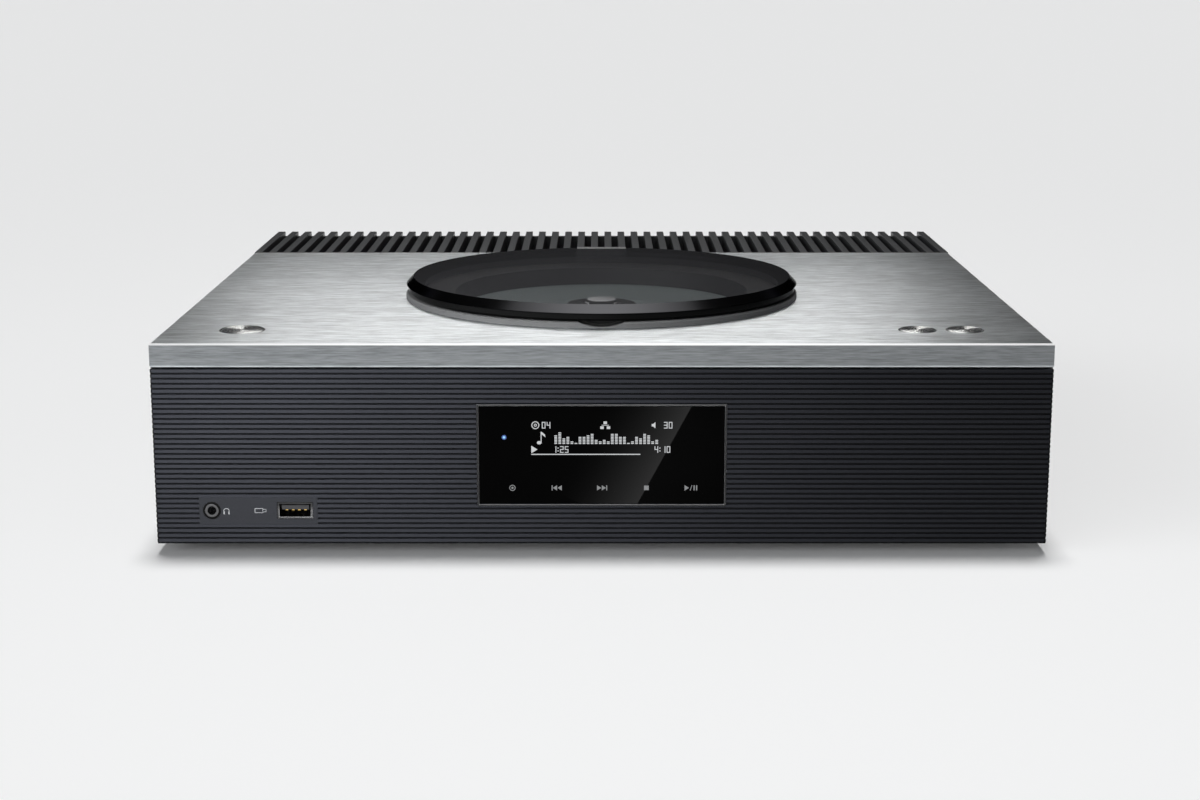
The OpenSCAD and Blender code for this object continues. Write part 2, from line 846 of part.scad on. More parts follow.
module pickup_sled() {
    y0 = lens_y - sled_half;
    y1 = lens_y + sled_half;
    tooth_count = 16;
    rack_y1 = lid_y - 6.5;
    turret_z1 = well_z - 1;
    color(charcoal) difference() {
        union() {
            block([sled_x0, y0, sled_z0], [sled_x1, y1, sled_z1]);
            block([-turret_half, lens_y - turret_half, sled_z1 - 0.1],
                  [turret_half, lens_y + turret_half, turret_z1]);
            block([sled_x1 - 0.1, rack_y1 - 42, rack_z0], [rack_x - rack_module, rack_y1, rack_z1]);
            translate([0, 0, rack_z0]) linear_extrude(rack_z1 - rack_z0) for (i = [0 : tooth_count - 1])
                translate([rack_x, gear_y + (i - 0.5) * rack_pitch]) rack_tooth();
        }
        translate([-rail_x, 0, rail_z]) rod_y(rail_r + run_gap, y0 - cut, y1 + cut);
        block([rail_x - 1.8, y0 - cut, rail_z - rail_r - run_gap],
              [sled_x1 - 0.5, y1 + cut, rail_z + rail_r + run_gap]);
        translate([0, lens_y, 0]) post(lens_r + 0.02, sled_z1, turret_z1 + cut);
    }
}

// One straight-sided tooth of the rack, pointing at the pinion.
module rack_tooth() {
    polygon(rack_module * [
        [-1.1, -0.85], [0, -0.6], [0.7, -0.3], [0.7, 0.3], [0, 0.6], [-1.1, 0.85]
    ]);
}

module objective_lens() {
    color([0.5, 0.6, 0.8]) translate([0, lens_y, 0]) rotate_extrude() polygon([
        [0, sled_z1 + run_gap], [lens_r, sled_z1 + run_gap], [lens_r, well_z - 1.2],
        [lens_r - 0.9, well_z - 0.7], [0, well_z - 0.2]
    ]);
}

module guide_rails() {
    color(steel) both_sides() translate([rail_x, 0, rail_z]) rod_y(rail_r, chassis_y0 + 0.3, lid_y - 0.8);
}

module drive_gear() {
    color([0.85, 0.85, 0.8]) translate([gear_x, gear_y, 0]) difference() {
        union() {
            translate([0, 0, rack_z0 - 0.2]) linear_extrude(wheel_z0 - rack_z0 + 0.3)
                gear_outline(pinion_teeth, rack_module, 0);
            translate([0, 0, wheel_z0]) linear_extrude(wheel_z1 - wheel_z0)
                gear_outline(wheel_teeth, wheel_module, 0);
        }
        post(shaft_r + run_gap, rack_z0 - cut, wheel_z1 + cut);
    }
}

module motor_pinion() {
    color(steel) translate([motor_x, gear_y, 0]) {
        post(0.8, chassis_z0 - 8, wheel_z1 + 0.4);
        translate([0, 0, wheel_z0 - 0.4]) linear_extrude(wheel_z1 - wheel_z0 + 0.7)
            gear_outline(motor_teeth, wheel_module, 180 / motor_teeth);
    }
}

module sled_motor() {
    color(steel) translate([motor_x, gear_y, 0]) difference() {
        post(6, chassis_z0 - 16, chassis_z0 - 0.05);
        post(0.8 + run_gap, chassis_z0 - 9, chassis_z0 + cut);
    }
}

// Electronics

module pan_board(span) {
    block([span[0], board_y0, board_z0], [span[1], board_y1, board_z1]);
}

module main_board() {
    color(board_green) pan_board(main_x);
}

module processor_shield() {
    color(steel) block([-40, 30, board_z1 + run_gap], [20, 85, board_z1 + 7]);
}

module power_board() {
    color([0.3, 0.22, 0.12]) pan_board(supply_x);
}

// Core on the board, with its winding standing out at both ends.
module power_transformer() {
    winding = [winding_proud, -winding_proud];
    color([0.75, 0.6, 0.15]) {
        block(concat(core_low, board_z1 + run_gap), concat(core_high, board_z1 + 26));
        block(concat(core_low + winding, board_z1 + 4), concat(core_high - winding, board_z1 + 22));
    }
}

module power_capacitors() {
    color(black) for (y = capacitor_y)
        translate([capacitor_x, y, 0]) post(capacitor_r, board_z1 + run_gap, board_z1 + 30);
}

// Board with the power devices that press on the heat sink.
module amplifier_board() {
    w = device_w / 2;
    color(board_green) {
        block(concat(amp_low, amp_z1 - board_t), concat(amp_high, amp_z1));
        for (x = device_x) block([x - w, device_y0, amp_z1 - 0.1], [x + w, device_y1, sink_z0 - run_gap]);
    }
}

module output_coils() {
    z1 = amp_z1 - board_t - run_gap;
    color([0.7, 0.4, 0.2]) for (x = coil_x) translate([x, coil_y, 0]) post(coil_r, z1 - coil_h, z1);
}

// Rear sockets

module speaker_sockets() {
    color([0.85, 0.7, 0.35]) for (x = speaker_x) translate([x, 0, bay_z]) difference() {
        rod_y(speaker_r, speaker_end - speaker_depth - 3, speaker_end);
        rod_y(speaker_bore_r, speaker_end - speaker_depth, speaker_end + cut);
    }
}

// Turned collar round one speaker socket, with its neck through the panel.
module socket_collar() {
    bore = speaker_r + run_gap;
    face = panel_y1 + seat_gap;
    rotate([-90, 0, 0]) rotate_extrude() polygon([
        [bore, panel_y0 - 2], [collar_neck_r, panel_y0 - 2], [collar_neck_r, face], [collar_r, face],
        [collar_r, panel_y1 + 6], [collar_r - 1, panel_y1 + 9.5], [bore, panel_y1 + 9.5]
    ]);
}

module positive_collars() {
    color([0.7, 0.1, 0.1]) for (i = [0, 2]) translate([speaker_x[i], 0, bay_z]) socket_collar();
}

module negative_collars() {
    color(black) for (i = [1, 3]) translate([speaker_x[i], 0, bay_z]) socket_collar();
}

// Plated shell, open to the back, with room for the plug's latch.
module network_socket() {
    floor_y = panel_y1 - network_depth;
    face_y = panel_y1 + 1;
    color(steel) translate([network_x, 0, bay_z]) difference() {
        block([-network_half_w, floor_y - 5, -network_half_h], [network_half_w, face_y, network_half_h]);
        block([-6, floor_y, -4.6], [6, face_y + cut, 3.6]);
        block([-3.2, floor_y, -6.2], [3.2, face_y + cut, -4.5]);
    }
}

module aux_socket() {
    color(black) translate([aux_x, 0, bay_z]) difference() {
        union() {
            rod_y(aux_r, panel_y0 - 2, aux_end);
            block([-6, panel_y1 - 16, -6], [6, panel_y0 - seat_gap, 6]);
        }
        rod_y(jack_bore_r, aux_end - jack_depth, aux_end + cut);
    }
}

module antenna_socket() {
    color(steel) translate([antenna_x, 0, bay_z]) difference() {
        union() {
            rod_y(antenna_r, panel_y0 - 4, antenna_end);
            rod_y(7, panel_y1 + seat_gap, panel_y1 + 2);
        }
        rod_y(0.6, antenna_end - 6, antenna_end + cut);
    }
}

module mains_inlet() {
    w = inlet_half_w;
    h = inlet_half_h;
    pin_x = 4.3;
    lobe_r = 3.8;
    floor_y = panel_y1 - inlet_depth;
    face_y = panel_y1 + inlet_flange;
    color(black) translate([inlet_x, 0, bay_z]) {
        difference() {
            union() {
                block([-w, floor_y - 6, -h], [w, panel_y1 + 0.2, h]);
                block([-w - 3, panel_y1 + seat_gap, -h - 2], [w + 3, face_y, h + 2]);
            }
            both_sides() translate([pin_x, 0, 0]) rod_y(lobe_r, floor_y, face_y + cut);
            block([-pin_x, floor_y, -lobe_r], [pin_x, face_y + cut, lobe_r]);
        }
        both_sides() translate([pin_x, 0, 0]) rod_y(1.2, floor_y - 0.1, panel_y1 + 1);
    }
}

base_pan();
feet();
front_panel();
socket_plate();
left_side_panel();
right_side_panel();
rear_panel();
top_plate();
heat_sink();
panel_screws();
rear_screws();
display_frame();
display_window();
display_module();
touch_board();
status_light();
headphone_jack();
jack_ring();
usb_shell();
usb_tongue();
socket_board();
power_button();
volume_down_button();
volume_up_button();
button_boards();
button_switches();
lid_window();
lid_ring();
lid_pads();
hinge_arm();
hinge_pin();
hinge_bracket();
seat_ring();
well_floor();
drive_chassis();
chassis_grommets();
spindle_motor();
spindle_shaft();
turntable();
hub_cap();
pickup_sled();
objective_lens();
guide_rails();
drive_gear();
motor_pinion();
sled_motor();
main_board();
processor_shield();
power_board();
power_transformer();
power_capacitors();
amplifier_board();
output_coils();
speaker_sockets();
positive_collars();
negative_collars();
network_socket();
aux_socket();
antenna_socket();
mains_inlet();
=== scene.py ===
"""Dresses the all-in-one stereo system: finishes, lit display, fittings, studio and camera.

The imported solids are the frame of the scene. Each sub-assembly below names the solids that it
dresses, holds the sizes of the pieces that it adds in millimetres, and builds them in place.
"""

import json
import logging
import math
from collections.abc import Callable, Iterable, Sequence
from dataclasses import dataclass, replace
from enum import Enum
from typing import Any, ClassVar

import bmesh
import bpy
from mathutils import Matrix, Quaternion, Vector

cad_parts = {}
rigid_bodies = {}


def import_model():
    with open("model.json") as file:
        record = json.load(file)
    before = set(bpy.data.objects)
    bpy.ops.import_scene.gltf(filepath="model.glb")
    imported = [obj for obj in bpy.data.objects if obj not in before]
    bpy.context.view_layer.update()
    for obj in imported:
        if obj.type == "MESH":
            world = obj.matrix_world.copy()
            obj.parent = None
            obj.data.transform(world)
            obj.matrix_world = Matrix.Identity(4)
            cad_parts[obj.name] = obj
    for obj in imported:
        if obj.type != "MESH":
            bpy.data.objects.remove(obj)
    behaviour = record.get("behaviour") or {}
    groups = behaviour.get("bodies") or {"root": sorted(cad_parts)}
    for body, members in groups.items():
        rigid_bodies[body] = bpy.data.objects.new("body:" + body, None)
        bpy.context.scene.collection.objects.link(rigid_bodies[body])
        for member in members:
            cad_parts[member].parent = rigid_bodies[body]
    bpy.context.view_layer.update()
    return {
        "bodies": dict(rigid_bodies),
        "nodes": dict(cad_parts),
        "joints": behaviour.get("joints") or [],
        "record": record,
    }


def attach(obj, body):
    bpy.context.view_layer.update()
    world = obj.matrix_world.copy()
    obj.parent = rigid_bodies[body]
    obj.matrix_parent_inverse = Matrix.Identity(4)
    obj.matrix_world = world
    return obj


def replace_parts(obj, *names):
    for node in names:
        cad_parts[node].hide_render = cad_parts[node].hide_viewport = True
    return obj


MM = 0.001
# Millimetres over which one tone of a finish runs into the next.
SOFT_EDGE = 0.3
# Degrees from which an edge of an added piece is shaded as a sharp one.
SHARP_ANGLE = 32.0
log = logging.getLogger("stereo")

Colour = tuple[float, float, float]
Point2 = tuple[float, float]
Point3 = tuple[float, float, float]


def opaque(colour: Sequence[float]) -> tuple[float, ...]:
    """The colour as a socket takes it, with nothing see-through."""
    return (*colour, 1.0)


def grey(level: float) -> tuple[float, ...]:
    """An even grey as a socket takes it."""
    return opaque((level, level, level))


def turns(steps: int) -> list[float]:
    """Angles all the way round, in even steps."""
    return [math.tau * i / steps for i in range(steps)]


def polar(r: float, angle: float) -> Point2:
    """The point at this radius and angle."""
    return r * math.cos(angle), r * math.sin(angle)


def math_operator(operation: str, swapped: bool = False) -> Callable[["Wire", Any], "Wire"]:
    """Makes the method behind a Python operator.

    Args:
        operation: the operation of the Math node that the method adds.
        swapped: whether the other value comes first, as it does in a reflected form.

    Returns:
        The method, which takes the other value and returns the node's output.
    """

    def work_out(wire: "Wire", other: Any) -> "Wire":
        """Adds the Math node for this wire and the other value."""
        return wire.math_node(operation, *((other, wire) if swapped else (wire, other)))

    return work_out


class Wire:
    """A node's output that takes part in Python expressions and adds Math nodes as it goes."""

    __add__ = __radd__ = math_operator("ADD")
    __mul__ = __rmul__ = math_operator("MULTIPLY")
    __sub__, __rsub__ = math_operator("SUBTRACT"), math_operator("SUBTRACT", swapped=True)
    __truediv__, __rtruediv__ = math_operator("DIVIDE"), math_operator("DIVIDE", swapped=True)
    __pow__, __rpow__ = math_operator("POWER"), math_operator("POWER", swapped=True)
    largest = math_operator("MAXIMUM")

    def __init__(self, sheet: "NodeSheet", socket: bpy.types.NodeSocket) -> None:
        """Wraps one output socket of a node sheet."""
        self.sheet = sheet
        self.socket = socket

    def math_node(self, operation: str, *values: Any) -> "Wire":
        """Adds one Math node that works on these values in order."""
        return self.sheet.add("ShaderNodeMath", {"operation": operation}, dict(enumerate(values)))

    def bell(self, middle: float, width: float) -> "Wire":
        """A bell curve of this value: 1 at the middle, and about a third one width away."""
        offset = (self - middle) / width
        return self.math_node("EXPONENT", -1.0 * (offset * offset))

    def ramp(self, low: float, high: float) -> "Wire":
        """A smooth step of this value, from 0 at low to 1 at high."""
        settings = {"interpolation_type": "SMOOTHSTEP"}
        return self.sheet.add("ShaderNodeMapRange", settings, {0: self, 1: low, 2: high})

    def length_ramp(self, low: float, high: float) -> "Wire":
        """A smooth step of a length, whose two ends are given in millimetres."""
        return self.ramp(low * MM, high * MM)


class NodeSheet:
    """The node tree of one material or of the world, cleared and ready to be filled."""

    def __init__(self, tree: bpy.types.NodeTree) -> None:
        """Takes a tree and removes the nodes that it starts with."""
        self.tree = tree
        tree.nodes.clear()

    def add(
        self,
        kind: str,
        settings: dict[str, Any] | None = None,
        sockets: dict[str | int, Any] | None = None,
        out: str | int = 0,
    ) -> Wire:
        """Adds any node.

        Args:
            kind: the node's type.
            settings: its properties, which are set first.
            sockets: values or wires for its inputs, by name or place.
            out: the output that is wanted, by name or place.

        Returns:
            That output as a wire.
        """
        node = self.tree.nodes.new(kind)
        for name, value in (settings or {}).items():
            setattr(node, name, value)
        for key, value in (sockets or {}).items():
            if isinstance(value, Wire):
                self.tree.links.new(value.socket, node.inputs[key])
            else:
                node.inputs[key].default_value = value
        return Wire(self, node.outputs[out]) if node.outputs else Wire(self, node.inputs[0])

    def blend(self, share: Any, first: Any, second: Any, way: str = "MIX") -> Wire:
        """Mixes two colours: all of the first at share 0, and the way's result at share 1."""
        settings = {"data_type": "RGBA", "blend_type": way}
        return self.add("ShaderNodeMix", settings, {0: share, 6: first, 7: second}, out=2)

    def place(self) -> Wire:
        """The point on the surface in metres, in the console's own frame."""
        return self.add("ShaderNodeTexCoord", out="Object")

    def vector(self, operation: str, *values: Any, **named: Any) -> Wire:
        """Adds one Vector Math node that works on these vectors in order."""
        sockets = dict(enumerate(values)) | named
        return self.add("ShaderNodeVectorMath", {"operation": operation}, sockets)

    def stretched(self, point: Wire, waves: Sequence[float]) -> Wire:
        """The point with each axis scaled to its number of waves per metre."""
        return self.vector("MULTIPLY", point, tuple(waves))

    def surface_normal(self) -> Wire:
        """The direction in which the surface faces."""
        return self.add("ShaderNodeNewGeometry", out="Normal")

    def levelness(self) -> Wire:
        """1 where the surface lies level, and 0 where it stands upright."""
        _, _, up = self.split(self.surface_normal())
        return up * up

    def noise(self, point: Wire, detail: float, roughness: float) -> Wire:
        """Cloudy noise around 0.5 over a point that is already scaled."""
        sockets = {"Vector": point, "Scale": 1.0, "Detail": detail, "Roughness": roughness}
        return self.add("ShaderNodeTexNoise", sockets=sockets)

    def shown(self) -> Wire:
        """Tells what the camera sees from stray light.

        Returns:
            1 where it is seen straight, in gloss or through glass, and 0 for stray light.
        """
        rays = self.add("ShaderNodeLightPath").socket.node.outputs
        names = ("Is Camera Ray", "Is Glossy Ray", "Is Transmission Ray")
        straight, mirrored, through = (Wire(self, rays[name]) for name in names)
        return straight.largest(mirrored).largest(through)

    def split(self, vector: Wire) -> tuple[Wire, Wire, Wire]:
        """The three parts of a vector."""
        parts = self.add("ShaderNodeSeparateXYZ", sockets={0: vector}).socket.node.outputs
        return Wire(self, parts[0]), Wire(self, parts[1]), Wire(self, parts[2])


class Grain(Enum):
    """How a surface was worked: its marks as waves per metre along X, Y and Z, and their run."""

    BRUSHED = ((95.0, 540.0, 2200.0), (1.0, 0.0, 0.0))
    DRAWN = ((900.0, 16.0, 900.0), (0.0, 1.0, 0.0))
    SPUN = ((2600.0, 2600.0, 0.0), None)
    SPRAYED = ((1700.0, 1700.0, 1700.0), None)
    MOULDED = ((900.0, 900.0, 900.0), None)
    POLISHED = ((60.0, 60.0, 60.0), None)

    @property
    def waves(self) -> Point3:
        """Waves of the marks per metre."""
        return self.value[0]

    @property
    def run(self) -> Point3 | None:
        """The direction in which the marks run, if they have one all over."""
        return self.value[1]


@dataclass(frozen=True)
class Finish:
    """One surface finish: its colour, its gloss, and the fine marks of how it was made."""

    name: str
    colour: Colour
    roughness: float
    metallic: float = 0.0
    grain: Grain = Grain.SPRAYED
    mottle: float = 0.10
    polish: float = 0.10
    relief: float = 0.004
    specular: float = 0.5
    coat: float = 0.0
    alpha: float = 1.0
    spread: float = 0.0
    centre: Point2 = (0.0, 0.0)
    shade_tone: float = 1.0

    coat_roughness: ClassVar[float] = 0.04
    ring_detail: ClassVar[float] = 3.0
    mark_detail: ClassVar[float] = 4.0
    mark_roughness: ClassVar[float] = 0.62
    mark_share: ClassVar[float] = 0.75
    noise_span: ClassVar[Point2] = (0.25, 0.75)
    cloud_waves: ClassVar[Point3] = (22.0, 22.0, 22.0)
    scratch_waves: ClassVar[Point3] = (9000.0, 61000.0, 47000.0)

    def material(self) -> bpy.types.Material:
        """Makes the material, or finds it if another piece wears it already.

        Returns:
            The material under this finish's own name.
        """
        label = f"{self.name}_finish"
        made = bpy.data.materials.get(label)
        if made is None:
            made = bpy.data.materials.new(label)
            made.use_nodes = True
            sheet = NodeSheet(made.node_tree)
            shader = sheet.add("ShaderNodeBsdfPrincipled", sockets=self.sockets(sheet))
            sheet.add("ShaderNodeOutputMaterial", sockets={"Surface": shader})
        return made

    def from_centre(self, sheet: NodeSheet) -> Wire:
        """The point on the surface as seen from the middle of a turned piece."""
        x, y = self.centre
        return sheet.vector("SUBTRACT", sheet.place(), (x * MM, y * MM, 0.0))

    def radius(self, sheet: NodeSheet) -> Wire:
        """How far the point is from the axis of a turned piece."""
        x, y, _ = sheet.split(self.from_centre(sheet))
        return (x * x + y * y) ** 0.5

    def marks(self, sheet: NodeSheet) -> Wire:
        """Draws the fine marks of the grain.

        Args:
            sheet: the material's node sheet.

        Returns:
            The marks as noise around 0.5: rings about the middle, or streaks and specks.
        """
        if self.grain is Grain.SPUN:
            across = self.radius(sheet) * self.grain.waves[0]
            rings = {"W": across, "Scale": 1.0, "Detail": self.ring_detail}
            return sheet.add("ShaderNodeTexNoise", {"noise_dimensions": "1D"}, rings)
        point = sheet.stretched(sheet.place(), self.grain.waves)
        return sheet.noise(point, self.mark_detail, self.mark_roughness)

    def normal(self, sheet: NodeSheet, marks: Wire) -> Wire:
        """Gives the surface its fine relief.

        Args:
            sheet: the material's node sheet.
            marks: the fine marks of the grain.

        Returns:
            For a finish with a spread, normals that fan out across the grain, as scratches too
            fine to be seen one by one do. Otherwise a bump of the marks.
        """
        if not self.spread:
            bump = {"Strength": 1.0, "Distance": self.relief * MM, "Height": marks}
            return sheet.add("ShaderNodeBump", sockets=bump)
        face = sheet.surface_normal()
        upward = (0.0, 0.0, 1.0)
        run = self.grain.run or sheet.vector("CROSS_PRODUCT", upward, self.from_centre(sheet))
        across = sheet.vector("NORMALIZE", sheet.vector("CROSS_PRODUCT", face, run))
        scratch = sheet.noise(sheet.stretched(sheet.place(), self.scratch_waves), 1.0, 0.5)
        slope = (scratch.ramp(*self.noise_span) - 0.5) * 2.0 * self.fan(sheet)
        lean = sheet.vector("SCALE", across, Scale=slope)
        return sheet.vector("NORMALIZE", sheet.vector("ADD", face, lean))

    def fan(self, sheet: NodeSheet) -> Wire | float:
        """How far the normals lean at most, as a slope."""
        return self.spread

    def shade(self, sheet: NodeSheet) -> Wire | None:
        """Where the colour is brought to the shade's tone, from 0 to 1, if it is anywhere."""
        return None

    def tone(self, sheet: NodeSheet, swing: Wire) -> Wire:
        """Works out the colour.

        Args:
            sheet: the material's node sheet.
            swing: noise around 0.5 along the marks.

        Returns:
            The colour, a little darker and lighter along the marks, and shaded where it is so.
        """
        dark = opaque([c * (1.0 - self.mottle) for c in self.colour])
        light = opaque([min(1.0, c * (1.0 + self.mottle)) for c in self.colour])
        plain = sheet.blend(swing.ramp(*self.noise_span), dark, light)
        share = self.shade(sheet)
        if share is None:
            return plain
        return sheet.blend(share, plain, grey(self.shade_tone), "MULTIPLY")

    def sockets(self, sheet: NodeSheet) -> dict[str | int, Any]:
        """Works out what goes into the surface shader.

        Args:
            sheet: the material's node sheet.

        Returns:
            Values and wires by socket name.
        """
        marks = self.marks(sheet)
        cloud = sheet.noise(sheet.stretched(sheet.place(), self.cloud_waves), 2.0, 0.5)
        fine, broad = (marks - 0.5) * self.polish, (cloud - 0.5) * self.polish * 0.5
        swing = marks * self.mark_share + cloud * (1.0 - self.mark_share)
        return {
            "Base Color": self.tone(sheet, swing),
            "Roughness": self.roughness + fine + broad,
            "Metallic": self.metallic,
            "Specular IOR Level": self.specular,
            "Coat Weight": self.coat,
            "Coat Roughness": self.coat_roughness,
            "Alpha": self.alpha,
            "Normal": self.normal(sheet, marks),
        }


@dataclass(frozen=True)
class PlateFinish(Finish):
    """A brushed plate with bright-cut corners, and painted shade on its upright edges above a
    painted highlight line at their foot.
    """

    cloud_waves: ClassVar[Point3] = (5.0, 90.0, 700.0)

    # Painted shade on the upright edges. Below the height that follows, in millimetres, their foot
    # keeps a painted highlight line.
    shade_tone: float = 0.40
    cut_colour: Colour = (0.97, 0.975, 0.98)
    painted_highlight_top: float = 77.45
    painted_highlight_blur: float = 0.2

    def faces(self, sheet: NodeSheet) -> Wire:
        """1 on the level and upright faces, and 0 on a cut corner between them."""
        return ((sheet.levelness() - 0.5) ** 2.0).ramp(0.10, 0.20)

    def fan(self, sheet: NodeSheet) -> Wire:
        """The full lean on the brushed faces, and none on a cut corner."""
        return self.faces(sheet) * self.spread

    def shade(self, sheet: NodeSheet) -> Wire:
        """Finds the upright edges that get painted shade, down to the painted highlight line at
        their foot.

        Args:
            sheet: the material's node sheet.

        Returns:
            1 there and 0 elsewhere.
        """
        _, _, height = sheet.split(sheet.place())
        foot = height.length_ramp(self.painted_highlight_top, self.painted_highlight_top + self.painted_highlight_blur)
        return sheet.levelness().ramp(0.15, 0.02) * foot

    def tone(self, sheet: NodeSheet, swing: Wire) -> Wire:
        """The brushed tone on the faces, and the bare one on the cut corners."""
        return sheet.blend(self.faces(sheet), opaque(self.cut_colour), super().tone(sheet, swing))


@dataclass(frozen=True)
class CapFinish(Finish):
    """A turned cap with a bright top and painted shade on its side, in its narrow gap."""

    # Painted shade on the cap's side.
    shade_tone: float = 0.08

    def shade(self, sheet: NodeSheet) -> Wire:
        """The side of the cap, which gets painted shade."""
        _, _, up = sheet.split(sheet.surface_normal())
        return up.ramp(0.5, 0.2)


@dataclass(frozen=True)
class RibFinish(Finish):
    """A ribbed front with painted shade in its grooves and at the panel's two ends."""

    # Painted shade in the grooves and at the panel's two ends.
    shade_tone: float = 0.2
    face: float = -170.5
    groove: float = 0.6
    rib_lip: float = 0.1
    half: float = 180.0
    end_width: Point2 = (0.9, 0.3)

    def shade(self, sheet: NodeSheet) -> Wire:
        """Finds where painted shade goes: the grooves and the panel's two ends.

        Args:
            sheet: the material's node sheet.

        Returns:
            1 there and 0 on the faces of the ribs.
        """
        x, y, _ = sheet.split(sheet.place())
        groove_shade = y.length_ramp(self.face + self.rib_lip, self.face + self.groove)
        inner, outer = (((self.half - width) * MM) ** 2 for width in self.end_width)
        return groove_shade.largest((x * x).ramp(inner, outer))


@dataclass(frozen=True)
class SeatFinish(Finish):
    """A turned ring that is darker within a given radius."""

    shade_tone: float = 0.10
    dark_radius: float = 86.0

    def shade(self, sheet: NodeSheet) -> Wire:
        """What lies within the radius."""
        r = self.dark_radius
        return self.radius(sheet).length_ramp(r + SOFT_EDGE, r - SOFT_EDGE)


@dataclass(frozen=True)
class SmokedFinish(Finish):
    """Smoked clear plastic with a faint haze, and a backed edge that is a dark mirror."""

    edge_colour: Colour = (0.095, 0.095, 0.100)
    edge_roughness: float = 0.18
    clear_radius: float = 86.9

    def sockets(self, sheet: NodeSheet) -> dict[str | int, Any]:
        """Lets the face show through and closes the edge.

        Args:
            sheet: the material's node sheet.

        Returns:
            Values and wires by socket name. The black tint keeps the edge dark at a flat angle.
        """
        wired = super().sockets(sheet)
        r = self.clear_radius
        rim = self.radius(sheet).length_ramp(r, r + SOFT_EDGE)
        edge = sheet.levelness().ramp(0.92, 0.75).largest(rim)
        return wired | {
            "Base Color": sheet.blend(edge, wired["Base Color"], opaque(self.edge_colour)),
            "Roughness": wired["Roughness"] + edge * (self.edge_roughness - self.roughness),
            "Metallic": edge,
            "Specular Tint": grey(0.0),
            "Alpha": self.alpha + edge * (1.0 - self.alpha),
        }


@dataclass(frozen=True)
class TrimFinish(Finish):
    """A blackened metal trim on the front, polished bare along its broken edges, with painted shade
    deeper in its mouth and over its lip.
    """

    shade_tone: float = 0.08
    front: float = -170.5
    depth: float = 0.6
    # Painted shade over the mouth above this height in millimetres, fading in over the rise.
    lip: float = 1000.0
    rise: float = 3.0

    def shade(self, sheet: NodeSheet) -> Wire:
        """Finds what is darkened: the blackened flat face, and painted shade deeper in the mouth
        and over the lip.

        Args:
            sheet: the material's node sheet.

        Returns:
            1 on the flat face, inside the mouth and over the lip, and 0 on the bare edges.
        """
        _, y, z = sheet.split(sheet.place())
        _, ahead, _ = sheet.split(sheet.surface_normal())
        flat = (ahead * ahead).ramp(0.80, 0.96)
        # Painted shade deeper in the mouth, and above the lip.
        inside = y.length_ramp(self.front + self.depth, self.front + 2.0 * self.depth)
        return flat.largest(inside).largest(z.length_ramp(self.lip, self.lip + self.rise))


@dataclass(frozen=True)
class LitFinish(Finish):
    """A finish that gives off light of its own colour, a little uneven as lit dots are."""

    glow: float = 1.0
    unlit: float = 0.02

    def sockets(self, sheet: NodeSheet) -> dict[str | int, Any]:
        """Turns the plain finish's colour into a glow on a dark ground.

        Args:
            sheet: the material's node sheet.

        Returns:
            Values and wires by socket name.
        """
        wired = super().sockets(sheet)
        glow = {"Emission Color": wired["Base Color"], "Emission Strength": self.glow}
        return wired | glow | {"Base Color": grey(self.unlit)}


DISC_CENTRE: Point2 = (0.0, -47.5)
BRUSHED_TOP = PlateFinish(
    "brushed_top", (0.62, 0.65, 0.67), 0.31, 1.0, Grain.BRUSHED, 0.36, 0.03, spread=0.44
)
SPUN_METAL = CapFinish(
    "spun_metal", (0.60, 0.61, 0.61), 0.24, 1.0, Grain.SPUN, 0.12, 0.04, spread=0.50
)
RIBBED_CHARCOAL = RibFinish(
    "ribbed_charcoal", (0.0168, 0.0177, 0.0212), 0.42, 0.0, Grain.SPRAYED, 0.16, specular=0.08
)
FLAT_CHARCOAL = Finish(
    "flat_charcoal", (0.013, 0.0137, 0.0160), 0.45, 0.0, Grain.SPRAYED, 0.14, specular=0.15
)
SINK_BLACK = Finish(
    "sink_black", (0.042, 0.043, 0.045), 0.42, 0.30, Grain.DRAWN, 0.20, 0.12, 0.008
)
REAR_BLACK = Finish(
    "rear_black", (0.020, 0.020, 0.022), 0.60, 0.10, Grain.MOULDED, 0.25, 0.15, 0.020
)
PAN_STEEL = Finish("pan_steel", (0.060, 0.060, 0.064), 0.55, 0.30, Grain.MOULDED, 0.20, 0.15, 0.015)
FOOT_RUBBER = Finish(
    "foot_rubber", (0.012, 0.012, 0.012), 0.82, 0.0, Grain.MOULDED, 0.25, 0.1, 0.03
)
SCREW_BLACK = Finish("screw_black", (0.028, 0.028, 0.030), 0.36, 0.85, Grain.POLISHED, 0.2)
FRAME_TRIM = TrimFinish("frame_trim", (0.55, 0.55, 0.56), 0.30, 1.0, Grain.SPRAYED, 0.1)
DISPLAY_GLASS = Finish(
    "display_glass", (0.0004, 0.0004, 0.0004), 0.03, 0.0, Grain.POLISHED, 0.1, 0.02, 0.0,
    specular=0.012,
)
PLAIN_STEEL = Finish("plain_steel", (0.42, 0.43, 0.44), 0.34, 1.0, Grain.DRAWN, 0.12)
CIRCUIT_BOARD = Finish("circuit_board", (0.010, 0.075, 0.030), 0.38, 0.0, Grain.MOULDED, 0.3)
POWER_CIRCUIT = Finish("power_circuit", (0.130, 0.070, 0.025), 0.55, 0.0, Grain.MOULDED, 0.3)
LIGHT_PIPE = LitFinish("light_pipe", (0.28, 0.62, 1.0), 0.2, grain=Grain.POLISHED, glow=1.0)
BLUE_RIM = LitFinish("blue_rim", (0.01, 0.10, 0.45), 0.2, grain=Grain.POLISHED, glow=0.7)
SOCKET_BLACK = Finish("socket_black", (0.014, 0.014, 0.015), 0.42, 0.0, Grain.MOULDED, 0.2)
JACK_METAL = TrimFinish(
    "jack_metal", (0.48, 0.48, 0.49), 0.24, 1.0, Grain.POLISHED, 0.1, shade_tone=0.3
)
SOCKET_METAL = Finish("socket_metal", (0.52, 0.52, 0.53), 0.26, 1.0, Grain.POLISHED, 0.12)
